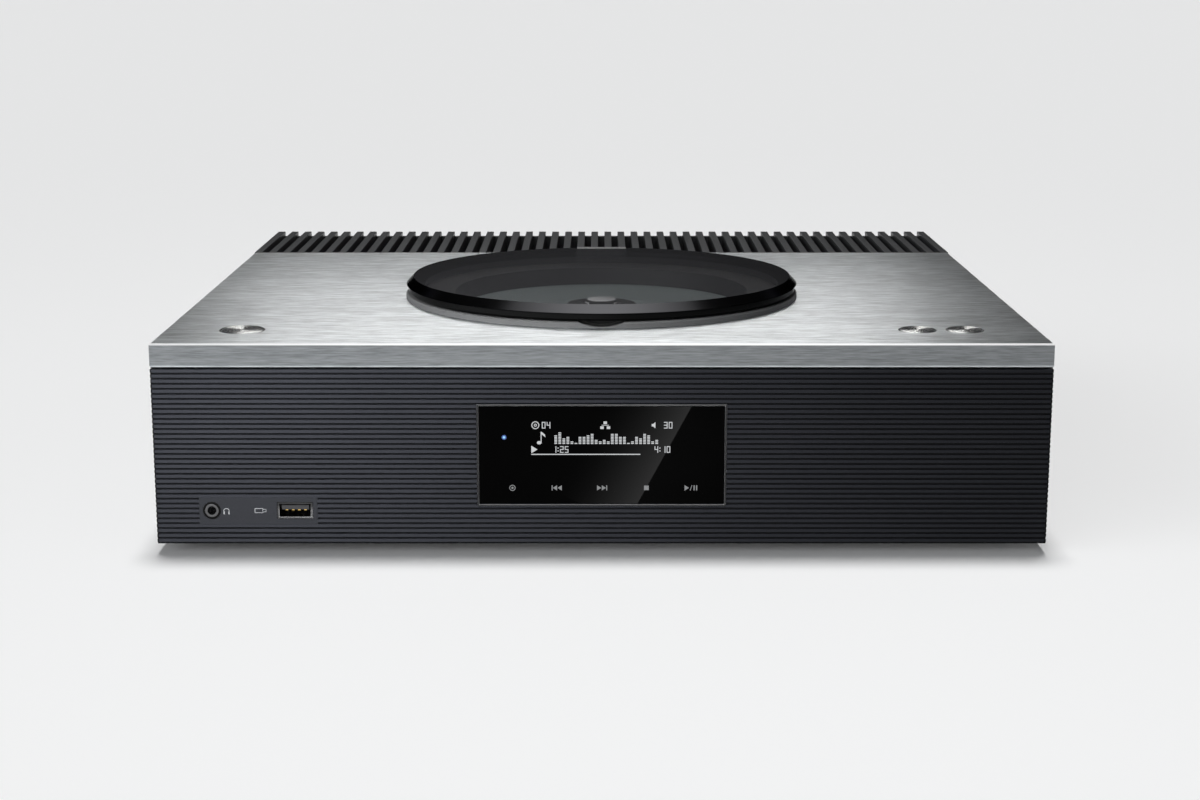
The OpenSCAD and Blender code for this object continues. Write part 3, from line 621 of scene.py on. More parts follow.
# Painted shade over the lip darkens the mouth above the tongue.
MOUTH_METAL = TrimFinish(
    "mouth_metal", (0.85, 0.85, 0.86), 0.26, 1.0, Grain.POLISHED, 0.12, lip=17.4
)
CONTACT_GOLD = Finish("contact_gold", (0.78, 0.52, 0.16), 0.24, 1.0, Grain.POLISHED, 0.1)
SMOKED_LID = SmokedFinish(
    "smoked_lid", (0.022, 0.022, 0.0240), 0.05, 0.0, Grain.POLISHED, 0.1, 0.03, 0.0,
    specular=0.01, alpha=0.35, centre=DISC_CENTRE,
)
LID_BLACK = Finish(
    "lid_black", (0.003, 0.003, 0.003), 0.10, 0.0, Grain.POLISHED, 0.1, 0.04, 0.0, specular=0.05
)
HINGE_METAL = Finish("hinge_metal", (0.58, 0.58, 0.59), 0.30, 1.0, Grain.POLISHED, 0.1, 0.04, 0.0)
SEAT_GREY = SeatFinish(
    "seat_grey", (0.068, 0.069, 0.070), 0.44, 0.0, Grain.SPRAYED, 0.14, centre=DISC_CENTRE
)
WELL_GREY = Finish("well_grey", (0.165, 0.195, 0.195), 0.46, 0.10, Grain.SPRAYED, 0.08)
PLATTER_BLACK = Finish("platter_black", (0.010, 0.010, 0.010), 0.60, 0.0, Grain.MOULDED, 0.2)
HUB_CHROME = Finish("hub_chrome", (0.85, 0.85, 0.86), 0.25, 0.4, Grain.POLISHED, 0.06, 0.05, 0.0)
SLED_PLASTIC = Finish("sled_plastic", (0.030, 0.030, 0.033), 0.50, 0.0, Grain.MOULDED, 0.2)
LENS_GLASS = Finish(
    "lens_glass", (0.10, 0.16, 0.34), 0.05, 0.0, Grain.POLISHED, 0.2, 0.02, 0.0, coat=1.0
)
GEAR_PLASTIC = Finish("gear_plastic", (0.60, 0.60, 0.54), 0.48, 0.0, Grain.MOULDED, 0.06)
PINION_BRASS = Finish("pinion_brass", (0.66, 0.47, 0.17), 0.28, 1.0, Grain.POLISHED, 0.12)
TRANSFORMER_TAPE = Finish("transformer_tape", (0.50, 0.33, 0.03), 0.50, 0.0, Grain.MOULDED, 0.15)
COIL_COPPER = Finish("coil_copper", (0.50, 0.20, 0.08), 0.34, 1.0, Grain.MOULDED, 0.25)
COLLAR_RED = Finish("collar_red", (0.36, 0.014, 0.012), 0.36, 0.0, Grain.MOULDED, 0.15)
LIT_MARK = LitFinish(
    "lit_mark", (0.80, 0.82, 0.84), 0.4, grain=Grain.MOULDED, mottle=0.06, glow=0.65
)
DIM_MARK = replace(LIT_MARK, name="dim_mark", colour=(0.40, 0.41, 0.42), glow=0.45)
PRINTED_MARK = Finish("printed_mark", (0.15, 0.155, 0.16), 0.55, 0.0, Grain.MOULDED, 0.1)
LAMP_GREEN = LitFinish("lamp_green", (0.08, 0.60, 0.14), 0.3, grain=Grain.POLISHED, glow=0.5)
LAMP_AMBER = LitFinish("lamp_amber", (0.80, 0.38, 0.05), 0.3, grain=Grain.POLISHED, glow=0.5)


class Facing(Enum):
    """Which way a piece's own height points, with its own width and depth axes."""

    UP = ((1, 0, 0), (0, 1, 0), (0, 0, 1))
    DOWN = ((1, 0, 0), (0, -1, 0), (0, 0, -1))
    FRONT = ((1, 0, 0), (0, 0, 1), (0, -1, 0))
    REAR = ((-1, 0, 0), (0, 0, 1), (0, 1, 0))
    RIGHT = ((0, 1, 0), (0, 0, 1), (1, 0, 0))

    def at(self, x: float, y: float, z: float) -> Matrix:
        """Makes the frame of a piece that faces this way.

        Args:
            x: where it stands, in millimetres, as are y and z.
            y: the same from front to back.
            z: the same upwards.

        Returns:
            The frame, in millimetres.
        """
        frame = Matrix(self.value).transposed().to_4x4()
        frame.translation = (x, y, z)
        return frame


class Workpiece:
    """A mesh in the making, drawn in millimetres and turned into a piece at the end."""

    def __init__(self) -> None:
        """Starts with an empty mesh."""
        self.mesh = bmesh.new()

    def ring(self, points: Iterable[Sequence[float]], frame: Matrix) -> list[bmesh.types.BMVert]:
        """Adds a row of points, given in a frame of their own."""
        return [self.mesh.verts.new(frame @ Vector(p) * MM) for p in points]

    def skin(self, rings: Sequence[Sequence[bmesh.types.BMVert]]) -> None:
        """Joins each closed ring of points to the next one.

        Args:
            rings: rows with the same number of points.
        """
        for low, high in zip(rings, rings[1:]):
            for i in range(len(low)):
                j = (i + 1) % len(low)
                self.mesh.faces.new((low[i], low[j], high[j], high[i]))

    def prism(self, outline: Sequence[Point2], low: float, high: float, frame: Matrix) -> None:
        """Draws a closed outline up into a solid.

        Args:
            outline: the corners, in turn, in the frame's first two axes.
            low: where the solid starts along the third axis.
            high: where it ends.
            frame: the frame that the outline lies in.
        """
        rings = [self.ring(((u, v, w) for u, v in outline), frame) for w in (low, high)]
        self.skin(rings)
        for ring in rings:
            self.mesh.faces.new(ring)

    def bar(self, low: Point2, high: Point2, thick: float, frame: Matrix) -> None:
        """A flat bar between two corners, raised from the frame's plane."""
        (u0, v0), (u1, v1) = low, high
        self.prism([(u0, v0), (u1, v0), (u1, v1), (u0, v1)], 0.0, thick, frame)

    def disc(self, r: float, thick: float, frame: Matrix, steps: int = 24) -> None:
        """A flat round disc, raised from the frame's plane."""
        self.prism([polar(r, a) for a in turns(steps)], 0.0, thick, frame)

    def arc(
        self, radii: Point2, span: Point2, thick: float, frame: Matrix, steps: int = 24
    ) -> None:
        """Draws a flat curved band, raised from the frame's plane.

        Args:
            radii: its inner and outer radius.
            span: the angles between which it runs, in degrees.
            thick: how far it is raised.
            frame: the frame that it lies in.
            steps: the number of flat pieces that it is made of.
        """
        (inner, outer), (low, high) = radii, span
        angles = [math.radians(low + (high - low) * i / steps) for i in range(steps + 1)]
        for a, b in zip(angles, angles[1:]):
            edge = [(inner, a), (outer, a), (outer, b), (inner, b)]
            self.prism([polar(r, t) for r, t in edge], 0.0, thick, frame)

    def turned(
        self,
        profile: Sequence[Sequence[float]],
        frame: Matrix,
        steps: int = 48,
        flutes: int = 0,
        bored: bool = False,
    ) -> None:
        """Turns a profile about the frame's third axis.

        Args:
            profile: each corner's radius and height, and the depth of its flutes if it has any.
            frame: the frame whose third axis is the axis.
            steps: the number of faces round the piece.
            flutes: the number of grooves cut along it.
            bored: whether the profile goes back to its start, which leaves a hole along the axis.
        """
        rings = []
        for r, h, *cut in profile:
            depth = cut[0] if cut else 0.0
            waves = [(r - depth * (0.5 + 0.5 * math.cos(flutes * a)), a) for a in turns(steps)]
            rings.append(self.ring([(*polar(q, a), h) for q, a in waves], frame))
        self.skin([*rings, rings[0]] if bored else rings)
        for ring in () if bored else (rings[0], rings[-1]):
            self.mesh.faces.new(ring)

    def socket_screw(self, r: float, h: float, frame: Matrix, steps: int = 48) -> None:
        """Draws a domed screw head with a six-sided socket in its top.

        Args:
            r: the head's radius.
            h: its height.
            frame: the frame that it stands in.
            steps: the number of faces round the head.
        """
        dome = ((1.0, 0.0), (1.0, 0.35), (0.96, 0.62), (0.84, 0.86), (0.66, 1.0))
        key, key_heights = r * 0.42, (1.0, 0.25)

        def hexagon(a: float) -> float:
            """The radius of the six-sided socket at this angle."""
            return key / math.cos((a + math.pi / 6) % (math.pi / 3) - math.pi / 6)

        angles = turns(steps)
        rings = [[(*polar(r * share, a), h * rise) for a in angles] for share, rise in dome]
        rings += [[(*polar(hexagon(a), a), h * rise) for a in angles] for rise in key_heights]
        made = [self.ring(points, frame) for points in rings]
        self.skin(made)
        self.mesh.faces.new(made[0])
        self.mesh.faces.new(made[-1])

    def piece(
        self, name: str, body: str, finish: Finish, slot: str | None = None
    ) -> bpy.types.Object:
        """Ends the work: makes the object, dresses it and lets it ride on its body.

        Args:
            name: the piece's name.
            body: the body that it moves with.
            finish: what it wears.
            slot: the record's material slot, if one fits. It is not used.

        Returns:
            The new object.
        """
        bmesh.ops.recalc_face_normals(self.mesh, faces=self.mesh.faces)
        data = bpy.data.meshes.new(name)
        self.mesh.to_mesh(data)
        self.mesh.free()
        data.shade_smooth()
        data.set_sharp_from_angle(angle=math.radians(SHARP_ANGLE))
        data.materials.append(finish.material())
        made = bpy.data.objects.new(name, data)
        bpy.context.collection.objects.link(made)
        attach(made, body)
        log.info("piece %s on %s: %d faces", name, body, len(data.polygons))
        return made


class SubAssembly:
    """A group of solids with the finishes that they wear and the edges that are broken."""

    finishes: ClassVar[dict[str, Finish]] = {}
    edges: ClassVar[dict[str, float]] = {}
    weld_gap: ClassVar[float] = 1e-6
    sharp_edge: ClassVar[float] = 50.0

    def worn(self) -> dict[str, Finish]:
        """The finish of each solid in the group."""
        return self.finishes

    def dress(self, nodes: dict[str, bpy.types.Object]) -> None:
        """Gives each solid its finish, and a small rounding where its edges catch the light.

        Args:
            nodes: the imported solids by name.
        """
        for name, finish in self.worn().items():
            for slot in nodes[name].material_slots:
                slot.material = finish.material()
            log.info("dressed %s in %s", name, finish.name)
        for name, width in self.edges.items():
            self.round_edges(nodes[name], width)

    def round_edges(self, node: bpy.types.Object, width: float) -> None:
        """Breaks a solid's sharp edges with modifiers, so that its mesh stays as packed.

        Args:
            node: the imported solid.
            width: how much of each edge is taken off, in millimetres.
        """
        weld = node.modifiers.new("join_faces", "WELD")
        weld.merge_threshold = self.weld_gap
        bevel = node.modifiers.new("broken_edges", "BEVEL")
        bevel.width = width * MM
        bevel.segments = 2
        bevel.limit_method = "ANGLE"
        bevel.angle_limit = math.radians(self.sharp_edge)
        node.modifiers.new("even_shading", "WEIGHTED_NORMAL")

    def build(self) -> None:
        """Adds the pieces that the solids leave out. A plain group adds none."""


@dataclass
class Case(SubAssembly):
    """The console's shell: front, sides, top plate, heat sink, back, pan, feet and screws."""

    finishes: ClassVar[dict[str, Finish]] = {
        "front_panel": RIBBED_CHARCOAL,
        "socket_plate": FLAT_CHARCOAL,
        "left_side_panel": FLAT_CHARCOAL,
        "right_side_panel": FLAT_CHARCOAL,
        "rear_panel": REAR_BLACK,
        "top_plate": BRUSHED_TOP,
        "heat_sink": SINK_BLACK,
        "base_pan": PAN_STEEL,
        "feet": FOOT_RUBBER,
        "panel_screws": SCREW_BLACK,
        "rear_screws": SCREW_BLACK,
    }
    edges: ClassVar[dict[str, float]] = {
        "left_side_panel": 0.3,
        "right_side_panel": 0.3,
        "heat_sink": 0.2,
    }
    foot_profile: ClassVar[tuple[Point2, ...]] = (
        (5.0, 1.5), (6.0, 0.0), (13.4, 0.0), (14.5, 0.4), (15.0, 1.2), (15.0, 2.2),
        (14.3, 2.5), (14.3, 3.0), (15.0, 3.3), (15.0, 4.0),
    )

    rear_y: float = 156.5
    rear_x: tuple[float, ...] = (-165.0, -60.0, 75.0, 170.0)
    rear_z: tuple[float, ...] = (11.5, 44.0)
    pan_z: float = 4.0
    pan_x: tuple[float, ...] = (-150.0, -50.0, 50.0, 150.0)
    pan_y: tuple[float, ...] = (-156.5, 30.0, 148.0)
    screw_h: float = 1.6
    rear_screw_r: float = 2.8
    pan_screw_r: float = 3.0
    feet_x: Point2 = (-142.0, 142.0)
    feet_y: Point2 = (-132.5, 118.5)
    foot_screw: Point2 = (3.2, 1.1)
    foot_screw_z: float = 1.5

    def build(self) -> None:
        """Adds the screw heads and the turned feet, which stand for the plain solids."""
        backs = [Facing.REAR.at(x, self.rear_y, z) for x in self.rear_x for z in self.rear_z]
        unders = [Facing.DOWN.at(x, y, self.pan_z) for x in self.pan_x for y in self.pan_y]
        for name, node, r, places in (
            ("rear_screw_heads", "rear_screws", self.rear_screw_r, backs),
            ("pan_screw_heads", "panel_screws", self.pan_screw_r, unders),
        ):
            work = Workpiece()
            for place in places:
                work.socket_screw(r, self.screw_h, place)
            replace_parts(work.piece(name, "console", SCREW_BLACK, "screw_black"), node)
        pads, screws = Workpiece(), Workpiece()
        for x in self.feet_x:
            for y in self.feet_y:
                pads.turned(self.foot_profile, Facing.UP.at(x, y, 0.0), 64)
                screws.socket_screw(*self.foot_screw, Facing.DOWN.at(x, y, self.foot_screw_z))
        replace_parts(pads.piece("foot_pads", "console", FOOT_RUBBER, "foot_rubber"), "feet")
        screws.piece("foot_screws", "console", SCREW_BLACK, "screw_black")


@dataclass
class DiscDeck(SubAssembly):
    """The disc player: lid, hinge, seat, well, turntable and pickup."""

    finishes: ClassVar[dict[str, Finish]] = {
        "lid_window": SMOKED_LID,
        "lid_ring": LID_BLACK,
        "lid_pads": FOOT_RUBBER,
        "hinge_arm": HINGE_METAL,
        "hinge_pin": HINGE_METAL,
        "hinge_bracket": HINGE_METAL,
        "seat_ring": SEAT_GREY,
        "well_floor": WELL_GREY,
        "drive_chassis": PLAIN_STEEL,
        "chassis_grommets": FOOT_RUBBER,
        "spindle_motor": PLAIN_STEEL,
        "spindle_shaft": PLAIN_STEEL,
        "turntable": PLATTER_BLACK,
        "hub_cap": HUB_CHROME,
        "pickup_sled": SLED_PLASTIC,
        "objective_lens": LENS_GLASS,
        "guide_rails": PLAIN_STEEL,
        "drive_gear": GEAR_PLASTIC,
        "motor_pinion": PINION_BRASS,
        "sled_motor": PLAIN_STEEL,
    }
    mat_profile: ClassVar[tuple[Point2, ...]] = (
        (9.4, 0.0), (15.0, 0.0), (15.0, 0.12), (14.7, 0.2), (9.7, 0.2), (9.4, 0.12),
    )

    disc_z: float = 82.2
    claw_radii: Point2 = (7.2, 7.75)
    claw_turns: Point3 = (90.0, 210.0, 330.0)
    claw_half: float = 11.0
    claw_h: float = 0.7
    claw_rise: float = 0.5

    def build(self) -> None:
        """Adds the claws that hold a disc on the hub, and the soft mat under it."""
        claws, mat = Workpiece(), Workpiece()
        grip = Facing.UP.at(*DISC_CENTRE, self.disc_z + self.claw_rise)
        for turn in self.claw_turns:
            span = (turn - self.claw_half, turn + self.claw_half)
            claws.arc(self.claw_radii, span, self.claw_h, grip)
        claws.piece("hub_claws", "spindle", HUB_CHROME, "hub_chrome")
        mat.turned(self.mat_profile, Facing.UP.at(*DISC_CENTRE, self.disc_z), 72, bored=True)
        mat.piece("platter_mat", "spindle", FOOT_RUBBER, "foot_rubber")


@dataclass
class Keys(SubAssembly):
    """The three spun buttons in the top plate, each turned about its own middle."""

    finishes: ClassVar[dict[str, Finish]] = {
        "button_boards": CIRCUIT_BOARD,
        "button_switches": SOCKET_BLACK,
    }
    places: ClassVar[dict[str, float]] = {"power": -148.0, "volume_down": 130.0, "volume_up": 149.5}

    row: float = -139.5

    def worn(self) -> dict[str, Finish]:
        """Adds the three caps, each with rings about its own middle, to the boards under them.

        Returns:
            The finish of each solid in the group.
        """
        caps = {
            f"{name}_button": replace(SPUN_METAL, name=f"spun_{name}", centre=(x, self.row))
            for name, x in self.places.items()
        }
        return caps | super().worn()


@dataclass
class Display(SubAssembly):
    """The display window with its lit marks, touch symbols and status light."""

    finishes: ClassVar[dict[str, Finish]] = {
        "display_frame": FRAME_TRIM,
        "display_window": DISPLAY_GLASS,
        "display_module": PLAIN_STEEL,
        "touch_board": CIRCUIT_BOARD,
        "status_light": LIGHT_PIPE,
    }
    edges: ClassVar[dict[str, float]] = {"display_frame": 0.22}
    segments: ClassVar[dict[str, str]] = {
        "0": "abcdef", "1": "bc", "2": "abdeg", "3": "abcdg", "4": "bcfg",
        "5": "acdfg", "6": "acdefg", "7": "abc", "8": "abcdefg", "9": "abcdfg",
    }

    glass_y: float = -170.1
    thick: float = 0.03
    top_row: float = 53.2
    main_row: float = 48.0
    time_row: float = 43.2
    bar_row: float = 41.2
    touch_row: float = 27.3
    figure_h: float = 2.7
    left: float = -28.3
    right: float = 28.8
    touch_x: tuple[float, ...] = (-36.0, -18.0, 0.0, 18.0, 36.0)
    status: Point2 = (-39.2, 48.2)

    def at(self, x: float, z: float) -> Matrix:
        """The frame of a mark on the glass."""
        return Facing.FRONT.at(x, self.glass_y, z)

    def digit(self, work: Workpiece, figure: str, x: float, z: float) -> None:
        """Draws one figure from upright and level strokes.

        Args:
            work: the mesh that takes the strokes.
            figure: the figure, 0 to 9.
            x: its left edge.
            z: its middle height.
        """
        h = self.figure_h
        w, s = h * 0.54, h * 0.12
        low, mid, top = -h / 2, 0.0, h / 2
        strokes = {
            "a": ((0, top - s), (w, top)), "d": ((0, low), (w, low + s)),
            "g": ((0, mid - s / 2), (w, mid + s / 2)), "f": ((0, mid), (s, top)),
            "e": ((0, low), (s, mid)), "b": ((w - s, mid), (w, top)), "c": ((w - s, low), (w, mid)),
        }
        for name in self.segments[figure]:
            work.bar(*strokes[name], self.thick, self.at(x, z))

    def figures(self, work: Workpiece, text: str, x: float, z: float) -> None:
        """Draws a row of figures and colons.

        Args:
            work: the mesh that takes the strokes.
            text: figures and colons.
            x: the left edge of the row.
            z: its middle height.
        """
        h = self.figure_h
        for mark in text:
            if mark == ":":
                for rise in (-0.22, 0.22):
                    low, high = (0, (rise - 0.08) * h), (0.16 * h, (rise + 0.08) * h)
                    work.bar(low, high, self.thick, self.at(x, z))
                x += 0.36 * h
            else:
                self.digit(work, mark, x, z)
                x += 0.72 * h

    def triangle(self, work: Workpiece, x: float, z: float, size: float) -> None:
        """Draws a solid triangle.

        Args:
            work: the mesh that takes it.
            x: where its flat side stands.
            z: its middle height.
            size: its size, which is below 0 for a triangle that points left.
        """
        outline = [(0.0, -abs(size) * 0.6), (size * 0.95, 0.0), (0.0, abs(size) * 0.6)]
        work.prism(outline if size > 0.0 else outline[::-1], 0.0, self.thick, self.at(x, z))

    def lit_marks(self) -> None:
        """Draws what the lit display shows: source, link, level, track, times and progress."""
        work = Workpiece()
        t = self.thick
        disc = self.at(self.left + 1.7, self.top_row)
        work.arc((1.25, 1.6), (0, 360), t, disc)
        work.arc((0.3, 0.6), (0, 360), t, disc, 12)
        self.figures(work, "04", self.left + 4.3, self.top_row)
        for dx, dz in ((0.0, 1.0), (-1.3, -1.0), (1.3, -1.0)):
            work.bar((dx - 0.7, dz - 0.55), (dx + 0.7, dz + 0.55), t, self.at(1.4, self.top_row))
        work.bar((-1.45, -0.12), (1.45, 0.12), t, self.at(1.4, self.top_row))
        horn = [(-1.0, -0.5), (-0.4, -0.5), (0.5, -1.3), (0.5, 1.3), (-0.4, 0.5), (-1.0, 0.5)]
        work.prism(horn, 0.0, t, self.at(21.0, self.top_row))
        self.figures(work, "30", 24.9, self.top_row)

        note = self.at(self.left + 4.0, self.main_row)
        head = [(0.95 * math.cos(a) - 0.8, 0.7 * math.sin(a) - 2.0) for a in turns(16)]
        work.prism(head, 0.0, t, note)
        work.bar((-0.2, -2.0), (0.15, 2.5), t, note)
        work.prism([(0.15, 2.5), (0.15, 1.5), (1.7, 0.2), (1.5, 1.4)], 0.0, t, note)
        self.level_bars(work)

        self.triangle(work, self.left, self.time_row, 2.6)
        self.figures(work, "1:25", self.left + 8.6, self.time_row)
        self.figures(work, "4:10", self.right - 7.6, self.time_row)
        work.bar((self.left, -0.2), (self.left + 43.8, 0.2), t, self.at(0.0, self.bar_row))
        work.piece("display_marks", "console", LIT_MARK)

    def level_bars(self, work: Workpiece) -> None:
        """Draws a row of level bars where a title would stand, stepped into dots.

        Args:
            work: the mesh that takes the bars.
        """
        count, pitch, wide, step = 26, 1.62, 1.1, 0.62
        for i in range(count):
            swing = 0.52 + 0.30 * math.sin(0.9 * i + 0.6) + 0.18 * math.sin(2.3 * i)
            dots = max(1, round(8 * swing))
            for k in range(dots):
                z0 = -2.5 + k * step
                frame = self.at(self.left + 9.3 + i * pitch, self.main_row)
                work.bar((0.0, z0), (wide, z0 + step * 0.66), self.thick, frame)

    def touch_marks(self) -> None:
        """Draws the five touch symbols under the display."""
        work = Workpiece()
        t, z = self.thick, self.touch_row
        pick, back, forward, stop, play = self.touch_x
        work.arc((0.95, 1.25), (0, 360), t, self.at(pick, z))
        work.disc(0.45, t, self.at(pick, z), 16)
        for x, way in ((back, -1.0), (forward, 1.0)):
            for dx in (-1.9, 0.0):
                self.triangle(work, x + way * dx, z, way * 1.8)
            low, high = sorted((way * 1.8, way * 2.2))
            work.bar((low, -1.05), (high, 1.05), t, self.at(x, z))
        work.bar((-0.95, -0.95), (0.95, 0.95), t, self.at(stop, z))
        self.triangle(work, play - 2.6, z, 1.9)
        work.prism([(-0.5, -1.1), (-0.2, -1.1), (0.5, 1.1), (0.2, 1.1)], 0.0, t, self.at(play, z))
        for dx in (1.0, 2.0):
            work.bar((dx, -1.05), (dx + 0.5, 1.05), t, self.at(play, z))
        work.piece("touch_marks", "console", DIM_MARK)

    def build(self) -> None:
        """Adds everything that is lit or printed on the glass."""
        self.lit_marks()
        self.touch_marks()
        core, rim = Workpiece(), Workpiece()
        core.disc(0.5, self.thick, self.at(*self.status))
        core.piece("status_dot", "console", LIGHT_PIPE, "light_pipe")
        rim.arc((0.5, 0.95), (0, 360), self.thick * 0.5, self.at(*self.status), 32)
        rim.piece("status_rim", "console", BLUE_RIM, "light_pipe")


@dataclass
class FrontSockets(SubAssembly):
    """The headphone and memory sockets at the lower left of the front, with printed marks."""

    finishes: ClassVar[dict[str, Finish]] = {
        "headphone_jack": JACK_METAL,
        "jack_ring": LID_BLACK,
        "usb_shell": MOUTH_METAL,
        "usb_tongue": SOCKET_BLACK,
        "socket_board": CIRCUIT_BOARD,
    }
    edges: ClassVar[dict[str, float]] = {
        "headphone_jack": 0.42,
        "jack_ring": 0.15,
        "usb_shell": 0.3,
    }
    stick: ClassVar[tuple[tuple[Point2, Point2], ...]] = (
        ((-2.2, -1.0), (1.2, -0.75)), ((-2.2, 0.75), (1.2, 1.0)), ((-2.2, -0.75), (-1.95, 0.75)),
        ((0.95, -0.75), (1.2, 0.75)), ((1.2, -0.65), (2.5, -0.4)), ((1.2, 0.4), (2.5, 0.65)),
        ((2.25, -0.4), (2.5, 0.4)),
    )

    plate_y: float = -170.45
    thick: float = 0.02
    row: float = 17.9
    headset_x: float = -151.6
    memory_x: float = -138.0
    usb_x: float = -123.9
    tongue_under: Point2 = (-163.0, 18.1)
    contact_x: tuple[float, ...] = (-3.75, -1.25, 1.25, 3.75)

    def build(self) -> None:
        """Prints a headset and a memory stick beside the sockets, and lays in the contacts."""
        work = Workpiece()
        t = self.thick
        head = Facing.FRONT.at(self.headset_x, self.plate_y, self.row - 0.2)
        work.arc((0.95, 1.25), (-10, 190), t, head)
        for side in (-1.0, 1.0):
            low, high = sorted((side * 0.7, side * 1.25))
            work.bar((low, -1.35), (high, -0.1), t, head)
        for low, high in self.stick:
            work.bar(low, high, t, Facing.FRONT.at(self.memory_x, self.plate_y, self.row))
        work.piece("socket_marks", "console", PRINTED_MARK)
        strips = Workpiece()
        for dx in self.contact_x:
            frame = Facing.DOWN.at(self.usb_x + dx, *self.tongue_under)
            strips.bar((-0.5, -5.0), (0.5, 2.6), 0.08, frame)
            strips.bar((-0.5, 2.6), (0.5, 4.2), 0.9, frame)
        strips.piece("usb_contacts", "console", CONTACT_GOLD)


@dataclass
class RearSockets(SubAssembly):
    """The sockets in the bay at the back."""

    finishes: ClassVar[dict[str, Finish]] = {
        "speaker_sockets": PINION_BRASS,
        "positive_collars": COLLAR_RED,
        "negative_collars": SOCKET_BLACK,
        "network_socket": SOCKET_METAL,
        "aux_socket": SOCKET_BLACK,
        "antenna_socket": SOCKET_METAL,
        "mains_inlet": SOCKET_BLACK,
    }
    collar: ClassVar[tuple[tuple[float, ...], ...]] = (
        (3.9, -3.5), (6.0, -3.5), (6.0, 0.3), (7.5, 0.3), (8.0, 0.9, 0.6), (8.0, 5.4, 0.6),
        (7.6, 6.2, 0.3), (7.0, 9.1), (6.7, 9.5), (3.9, 9.5),
    )
    flange: ClassVar[tuple[Point2, ...]] = (
        (4.75, 0.1), (6.6, 0.1), (7.0, 0.4), (7.0, 1.6), (6.6, 2.0), (4.75, 2.0),
    )
    spring: ClassVar[tuple[Point2, ...]] = (
        (-12.6, 3.5), (-2.0, 3.5), (-9.0, 0.6), (-9.4, 0.6), (-3.2, 3.2), (-12.6, 3.2),
    )
    lens: ClassVar[tuple[Point2, ...]] = (
        (-1.2, -0.6), (1.0, -0.6), (1.2, -0.4), (1.2, 0.6), (-1.0, 0.6), (-1.2, 0.4),
    )

    panel_y: float = 156.5
    row: float = 27.75
    positive_x: Point2 = (95.0, 140.0)
    negative_x: Point2 = (115.0, 160.0)
    network_x: float = -10.0
    network_y: float = 157.5
    antenna_x: float = 55.0
    sign_rise: float = 12.0
    sign_thick: float = 0.03

    def build(self) -> None:
        """Adds the collars' grips, the threaded socket, the contacts and the printed signs."""
        for name, node, places, finish, slot in (
            ("positive_grips", "positive_collars", self.positive_x, COLLAR_RED, "collar_red"),
            ("negative_grips", "negative_collars", self.negative_x, SOCKET_BLACK, "socket_black"),
        ):
            work = Workpiece()
            for x in places:
                frame = Facing.REAR.at(x, self.panel_y, self.row)
                work.turned(self.collar, frame, 144, 18, bored=True)
            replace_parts(work.piece(name, "console", finish, slot), node)
        self.antenna()
        self.network()
        signs = Workpiece()
        for x in (*self.positive_x, *self.negative_x):
            frame = Facing.REAR.at(x, self.panel_y, self.row + self.sign_rise)
            signs.bar((-1.4, -0.25), (1.4, 0.25), self.sign_thick, frame)
            if x in self.positive_x:
                signs.bar((-0.25, 0.25), (0.25, 1.4), self.sign_thick, frame)
                signs.bar((-0.25, -1.4), (0.25, -0.25), self.sign_thick, frame)
        signs.piece("speaker_signs", "console", PRINTED_MARK)

    def antenna(self) -> None:
        """Cuts a thread and a six-sided flange on the antenna socket."""
        work = Workpiece()
        frame = Facing.REAR.at(self.antenna_x, self.panel_y, self.row)
        work.turned(self.flange, frame, 6, bored=True)
        thread = [(4.75 if i % 2 else 4.25, 2.0 + 0.3 * i) for i in range(25)]
        barrel = [(0.6, 4.0), (4.4, -5.5), *thread, (3.6, 10.0), (3.3, 9.2), (0.6, 9.2)]
        work.turned(barrel, frame, 48, bored=True)
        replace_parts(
            work.piece("antenna_thread", "console", SOCKET_METAL, "socket_metal"), "antenna_socket"
        )

    def network(self) -> None:
        """Hangs the eight springs in the network socket, with its two link lamps."""
        springs = Workpiece()
        for i in range(8):
            x = self.network_x + (i - 3.5) * 1.02 - 0.2
            springs.prism(self.spring, 0.0, 0.4, Facing.RIGHT.at(x, self.network_y, self.row))
        springs.piece("network_contacts", "console", CONTACT_GOLD)
        for x, name, finish in ((-5.2, "link_lamp", LAMP_GREEN), (5.2, "speed_lamp", LAMP_AMBER)):
            lamp = Workpiece()
            frame = Facing.REAR.at(self.network_x + x, self.network_y, self.row + 5.3)
            lamp.prism(self.lens, 0.0, 0.06, frame)
            lamp.piece(name, "console", finish)


@dataclass
class Electronics(SubAssembly):
    """The boards inside the case, which show only through gaps."""

    finishes: ClassVar[dict[str, Finish]] = {
        "main_board": CIRCUIT_BOARD,
        "processor_shield": PLAIN_STEEL,
        "power_board": POWER_CIRCUIT,
        "power_transformer": TRANSFORMER_TAPE,
        "power_capacitors": SOCKET_BLACK,
        "amplifier_board": CIRCUIT_BOARD,
        "output_coils": COIL_COPPER,
    }


class Fade(Enum):
    """How the strength of a soft box runs across its width."""

    EVEN = "even"
    ENDS = "dark at both ends"
    LEFT = "dark at the left"

    def level(self, across: Wire) -> Wire:
        """The strength at a point from 0 at the left to 1 at the right."""
        return across**2.4 if self is Fade.LEFT else across.bell(0.5, 0.30)


